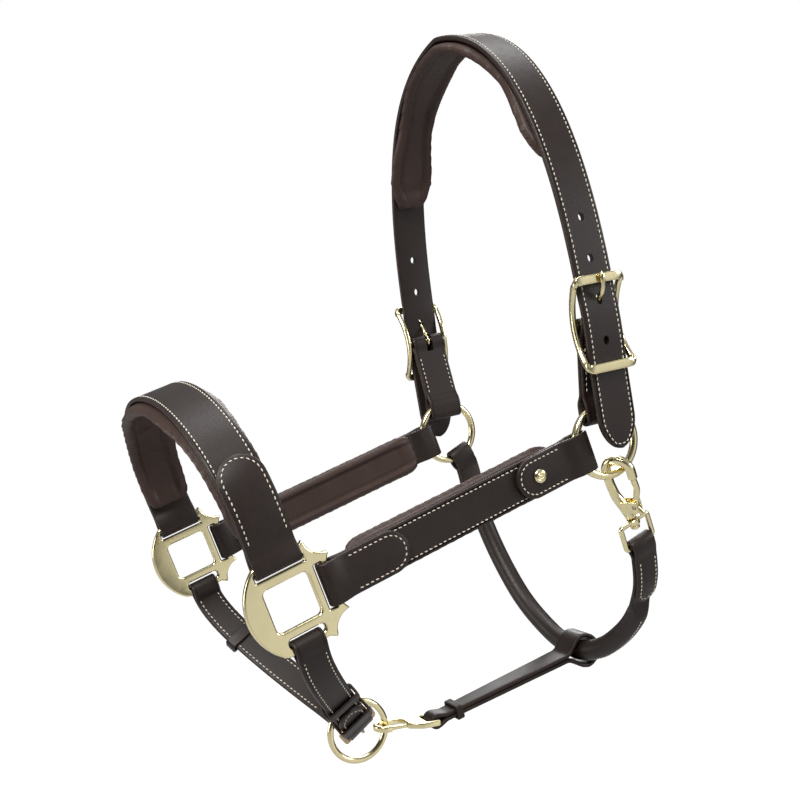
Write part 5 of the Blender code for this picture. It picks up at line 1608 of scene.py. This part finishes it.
class HEADCOLLAR_OT_throat_snap(bpy.types.Operator):
    """The snap on the near ring: hook, gate, pin and swivel eye."""

    bl_idname = "headcollar.throat_snap"
    bl_label = "Throat snap"

    def execute(self, context):
        r = SNAP_HOOK
        knots = [(33 * MM, 0), (27 * MM, -2.6 * MM), (18 * MM, -6.6 * MM), (7 * MM, -r)]
        spine = through_points([on_snap(*k) for k in knots], 6)[:-1]
        bend = [on_snap(-r * math.sin(math.pi * k / 20), -r * math.cos(math.pi * k / 20)) for k in range(21)]
        nose = [on_snap(3 * MM, r), on_snap(5 * MM, r)]
        points = spine + bend + nose
        body_radii = [smooth_step(4.0 * MM, SNAP_WIRE, min(k / (len(spine) - 1), 1))
                      for k in range(len(points))]
        body = rod("throat_snap_body", points, body_radii, HOOK_AXIS, sides=18, power=0.85)
        tools = [self.stem(), *self.lugs()]
        cut_or_join(body, tools, "UNION")
        cut_or_join(body, [self.pin_bore("body_bore")], "DIFFERENCE")
        stand_for(body, "throat_snap_hook")
        pin = turned([(0, -3.9 * MM), (0.8 * MM, -3.9 * MM), (1.0 * MM, -3.7 * MM), (1.0 * MM, 3.7 * MM),
                      (0.8 * MM, 3.9 * MM), (0, 3.9 * MM)], GATE_AT, HOOK_AXIS, 24)
        stand_for(new_object("snap_pin", pin, "steel"), "snap_gate_pin")
        gate = [(5.8 * MM, r), (14 * MM, r + 0.2 * MM), (25 * MM, 4.8 * MM), (31 * MM, 7.6 * MM)]
        lever = rod("snap_lever", through_points([on_snap(*k) for k in gate], 7), 2.0 * MM, HOOK_AXIS)
        cut_or_join(lever, [self.pin_bore("lever_bore")], "DIFFERENCE")
        stand_for(lever, "throat_snap_gate")
        self.make_eye()
        return {"FINISHED"}

    def stem(self):
        profile = [(0, 31), (1.8, 31), (1.8, 39.6), (2.8, 39.6), (3.1, 39.9), (3.1, 41.6), (2.7, 42), (0, 42)]
        stem = turned([(a * MM, b * MM) for a, b in profile], SNAP_WIRE_AT, SNAP_ALONG, 28)
        return new_object("stem", stem, "brass")

    def lugs(self):
        lug_out = 2.1 * MM + GAP + 0.65 * MM
        made = []
        for way in (-1, 1):
            bm = bmesh.new()
            bmesh.ops.create_cube(bm, size=1)
            place = Matrix((SNAP_ALONG * 8 * MM, HOOK_ACROSS * 11 * MM, HOOK_AXIS * 1.3 * MM))
            place = place.transposed().to_4x4()
            place.translation = on_snap(25.5 * MM, 1.6 * MM) + HOOK_AXIS * way * lug_out
            bmesh.ops.transform(bm, matrix=place, verts=bm.verts)
            bmesh.ops.bevel(bm, geom=bm.edges[:], offset=0.45 * MM, segments=3, profile=0.5,
                            affect="EDGES", material=-1)
            made.append(new_object("lug", bm, "brass"))
        return made

    def pin_bore(self, name):
        bore = [(0, -6 * MM), (1.35 * MM, -6 * MM), (1.35 * MM, 6 * MM), (0, 6 * MM)]
        return new_object(name, turned(bore, GATE_AT, HOOK_AXIS, 24), "brass")

    def make_eye(self):
        half = sizes().throat_width / 2 + GAP + SNAP_EYE_WIRE + 0.3 * MM
        c = 1 * MM
        top, low = SNAP_EYE_TOP, SNAP_EYE_LOW
        loop = rounded_box(top, low, -half, half, 2 * c, 5)
        points = [on_eye(*place) for place in loop]
        out = SNAP_ALONG.cross(eye_across())
        eye = rod("snap_eye", points, SNAP_EYE_WIRE, out, closed=True)
        boss = [(0, top - 1.9 * MM), (3.6 * MM, top - 1.9 * MM), (4 * MM, top - 1.5 * MM),
                (4 * MM, top + 1.5 * MM), (3.6 * MM, top + 1.9 * MM), (0, top + 1.9 * MM)]
        cut_or_join(eye, [new_object("boss", turned(boss, SNAP_WIRE_AT, SNAP_ALONG, 28), "brass")], "UNION")
        bore = [(0, top - 5 * MM), (2.15 * MM, top - 5 * MM), (2.15 * MM, top + 5 * MM), (0, top + 5 * MM)]
        cutter = new_object("bore", turned(bore, SNAP_WIRE_AT, SNAP_ALONG, 28), "brass")
        cut_or_join(eye, [cutter], "DIFFERENCE")
        stand_for(eye, "throat_snap_eye")


class HEADCOLLAR_OT_chin_clip(bpy.types.Operator):
    """The flat clip on the chin ring and its gate."""

    bl_idname = "headcollar.chin_clip"
    bl_label = "Chin clip"

    def execute(self, context):
        hook = CHIN_RING_CENTRE + Vector((CHIN_RING_RADIUS, 0, 0))
        run = CLIP_EYE - hook
        shift = run.y
        run.y = 0
        along = run.normalized()
        length = run.length
        place = Matrix((along, LATERAL, along.cross(LATERAL))).transposed().to_4x4()
        place.translation = hook
        outer, inner = 8 * MM, 4.8 * MM
        eye = length + 1.8 * MM
        outline = arc_points((0, 0), outer, 270, 90, 24)
        outline += [(15 * MM, outer), (22 * MM, 9 * MM + shift)]
        outline += arc_points((eye - 2 * MM, 7 * MM + shift), 2 * MM, 90, 0, 5)
        outline += arc_points((eye - 2 * MM, -7 * MM + shift), 2 * MM, 0, -90, 5)
        outline += [(22 * MM, -9 * MM + shift), (13.4 * MM, -outer), (13.4 * MM, -inner), (14 * MM, inner)]
        outline += arc_points((0, 0), inner, 90, 270, 18)
        outline += [(2 * MM, -inner), (2 * MM, -outer)]
        slot = rounded_box(length - 7.6 * MM, length - 1.8 * MM, -7 * MM + shift, 7 * MM + shift, 1.2 * MM)
        stand_for(casting("chin_clip_body", outline, [slot], 4.2 * MM, 1.2 * MM, place), "chin_clip")
        tip = CLIP_GATE_AT - along * 10.4 * MM
        ends = [tip.lerp(CLIP_GATE_AT, k / 4) for k in range(5)]
        stand_for(rod("chin_clip_lever", ends, 1.25 * MM, CLIP_UP), "chin_clip_gate")
        return {"FINISHED"}


# ---------------------------------------------------------------- stage

FLOOR_RADIUS = 4
FLOOR_HEIGHT = -0.62


class HEADCOLLAR_OT_stage(bpy.types.Operator):
    """A pale floor, soft studio light and the camera."""

    bl_idname = "headcollar.stage"
    bl_label = "Stage"

    def execute(self, context):
        self.make_floor()
        self.make_world()
        self.make_lights()
        self.make_camera()
        return {"FINISHED"}

    def make_floor(self):
        bm = bmesh.new()
        bmesh.ops.create_circle(bm, cap_ends=True, segments=96, radius=FLOOR_RADIUS)
        bmesh.ops.translate(bm, verts=bm.verts, vec=(0, 0, FLOOR_HEIGHT))
        mesh = bpy.data.meshes.new("floor")
        bm.to_mesh(mesh)
        bm.free()
        floor = bpy.data.objects.new("floor", mesh)
        bpy.context.scene.collection.objects.link(floor)
        material, tree, shader = new_material("studio_floor")
        shader.inputs["Base Color"].default_value = (0.9, 0.9, 0.9, 1)
        shader.inputs["Roughness"].default_value = 0.9
        distance = node(tree, "ShaderNodeVectorMath", {0: object_vector(tree)}, operation="LENGTH")
        fade = node(tree, "ShaderNodeMapRange", {"Value": distance.outputs["Value"], "From Min": 0.75,
                                                 "From Max": 1.9, "To Min": 0.3, "To Max": 0.0})
        tree.links.new(fade.outputs[0], shader.inputs["Alpha"])
        mesh.materials.append(material)

    def make_world(self):
        """White to the camera; a softer studio with a darker floor in reflections."""
        world = bpy.data.worlds.new("studio")
        world.use_nodes = True
        tree = world.node_tree
        background = tree.nodes["Background"]
        place = node(tree, "ShaderNodeTexCoord").outputs["Generated"]
        height = node(tree, "ShaderNodeSeparateXYZ", {0: place})
        level = math_node(tree, "MULTIPLY_ADD", height.outputs[2], 0.5)
        ramp = node(tree, "ShaderNodeValToRGB", {"Fac": level})
        ramp.inputs[0].links[0].from_node.inputs[2].default_value = 0.5
        self.fill_ramp(ramp, [(0.0, 0.28), (0.38, 0.16), (0.48, 0.02), (0.56, 0.03),
                              (0.75, 0.2), (1.0, 0.55)])
        screen = node(tree, "ShaderNodeVectorMath", {0: node(tree, "ShaderNodeTexCoord").outputs["Generated"],
                                                     1: SCREEN_WAY}, operation="DOT_PRODUCT")
        turned_to = math_node(tree, "MULTIPLY_ADD", screen.outputs["Value"], 0.5)
        turned_to.node.inputs[2].default_value = 0.5
        glow = node(tree, "ShaderNodeValToRGB", {"Fac": turned_to})
        self.fill_ramp(glow, [(0.0, 0.10), (0.5, 0.0), (0.86, 0.03), (0.95, 0.26), (0.995, 0.75)])
        lit = node(tree, "ShaderNodeVectorMath", {0: ramp.outputs[0], 1: glow.outputs[0]})
        seen = node(tree, "ShaderNodeLightPath").outputs["Is Camera Ray"]
        tree.links.new(blend_colour(tree, seen, lit.outputs[0], (1, 1, 1, 1)), background.inputs[0])
        bpy.context.scene.world = world

    def fill_ramp(self, ramp, stops):
        while len(ramp.color_ramp.elements) < len(stops):
            ramp.color_ramp.elements.new(0.5)
        for element, (place, level) in zip(ramp.color_ramp.elements, stops):
            element.position = place
            element.color = (level, level, level, 1)

    def make_lights(self):
        lights = [("key", (-1.3, -1.2, 1.2), 0.9, 52, (1, 0.985, 0.96)),
                  ("fill", (1.5, -1.1, 0.5), 0.7, 15, (0.97, 0.99, 1)),
                  ("top", (0.1, 0.3, 1.5), 1.0, 24, (1, 1, 1)),
                  ("rim", (0.9, 1.5, 0.6), 0.8, 16, (1, 1, 1)),
                  ("low", (-1.4, 0.5, -0.3), 0.7, 9, (1, 0.97, 0.93))]
        target = Vector((-0.04, 0, -0.23))
        for name, place, size, power, colour in lights:
            light = bpy.data.lights.new(name, "AREA")
            light.size = size
            light.energy = power
            light.color = colour
            item = bpy.data.objects.new(name, light)
            item.location = place
            item.rotation_euler = (target - Vector(place)).to_track_quat("-Z", "Y").to_euler()
            bpy.context.scene.collection.objects.link(item)

    def make_camera(self):
        azimuth = math.radians(-25.66)
        target = Vector((-0.041, 0, -0.233))
        distance = 0.740
        data = bpy.data.cameras.new("camera")
        data.lens = 50
        data.sensor_width = 36
        data.clip_start = 0.01
        item = bpy.data.objects.new("camera", data)
        item.location = target + Vector((math.sin(azimuth), -math.cos(azimuth), 0)) * distance
        item.rotation_euler = (math.pi / 2, 0, azimuth)
        bpy.context.scene.collection.objects.link(item)
        bpy.context.scene.camera = item
        bpy.context.scene.view_settings.view_transform = "Standard"


# ---------------------------------------------------------------- panel and registration

OPERATORS = [HEADCOLLAR_OT_noseband, HEADCOLLAR_OT_cheeks, HEADCOLLAR_OT_crown, HEADCOLLAR_OT_chapes,
             HEADCOLLAR_OT_chin, HEADCOLLAR_OT_throat, HEADCOLLAR_OT_jaw, HEADCOLLAR_OT_squares,
             HEADCOLLAR_OT_rings, HEADCOLLAR_OT_buckles, HEADCOLLAR_OT_chin_buckle,
             HEADCOLLAR_OT_throat_snap, HEADCOLLAR_OT_chin_clip, HEADCOLLAR_OT_stage]


class HEADCOLLAR_PT_panel(bpy.types.Panel):
    """The headcollar's pieces, sizes and colours in the sidebar."""

    bl_idname = "HEADCOLLAR_PT_panel"
    bl_label = "Headcollar"
    bl_space_type = "VIEW_3D"
    bl_region_type = "UI"
    bl_category = "Headcollar"

    def draw(self, context):
        for group in (context.scene.headcollar_sizes, context.scene.headcollar_colours):
            for key in group.__annotations__:
                self.layout.prop(group, key)
        for operator in OPERATORS:
            self.layout.operator(operator.bl_idname)


CLASSES = [HeadcollarSizes, HeadcollarColours, *OPERATORS, HEADCOLLAR_PT_panel]


def register():
    for cls in CLASSES:
        bpy.utils.register_class(cls)
    bpy.types.Scene.headcollar_sizes = bpy.props.PointerProperty(type=HeadcollarSizes)
    bpy.types.Scene.headcollar_colours = bpy.props.PointerProperty(type=HeadcollarColours)


def unregister():
    del bpy.types.Scene.headcollar_sizes
    del bpy.types.Scene.headcollar_colours
    for cls in reversed(CLASSES):
        bpy.utils.unregister_class(cls)


def main():
    register()
    for operator in OPERATORS:
        group, name = operator.bl_idname.split(".")
        getattr(getattr(bpy.ops, group), name)()


if __name__ == "__main__":
    main()
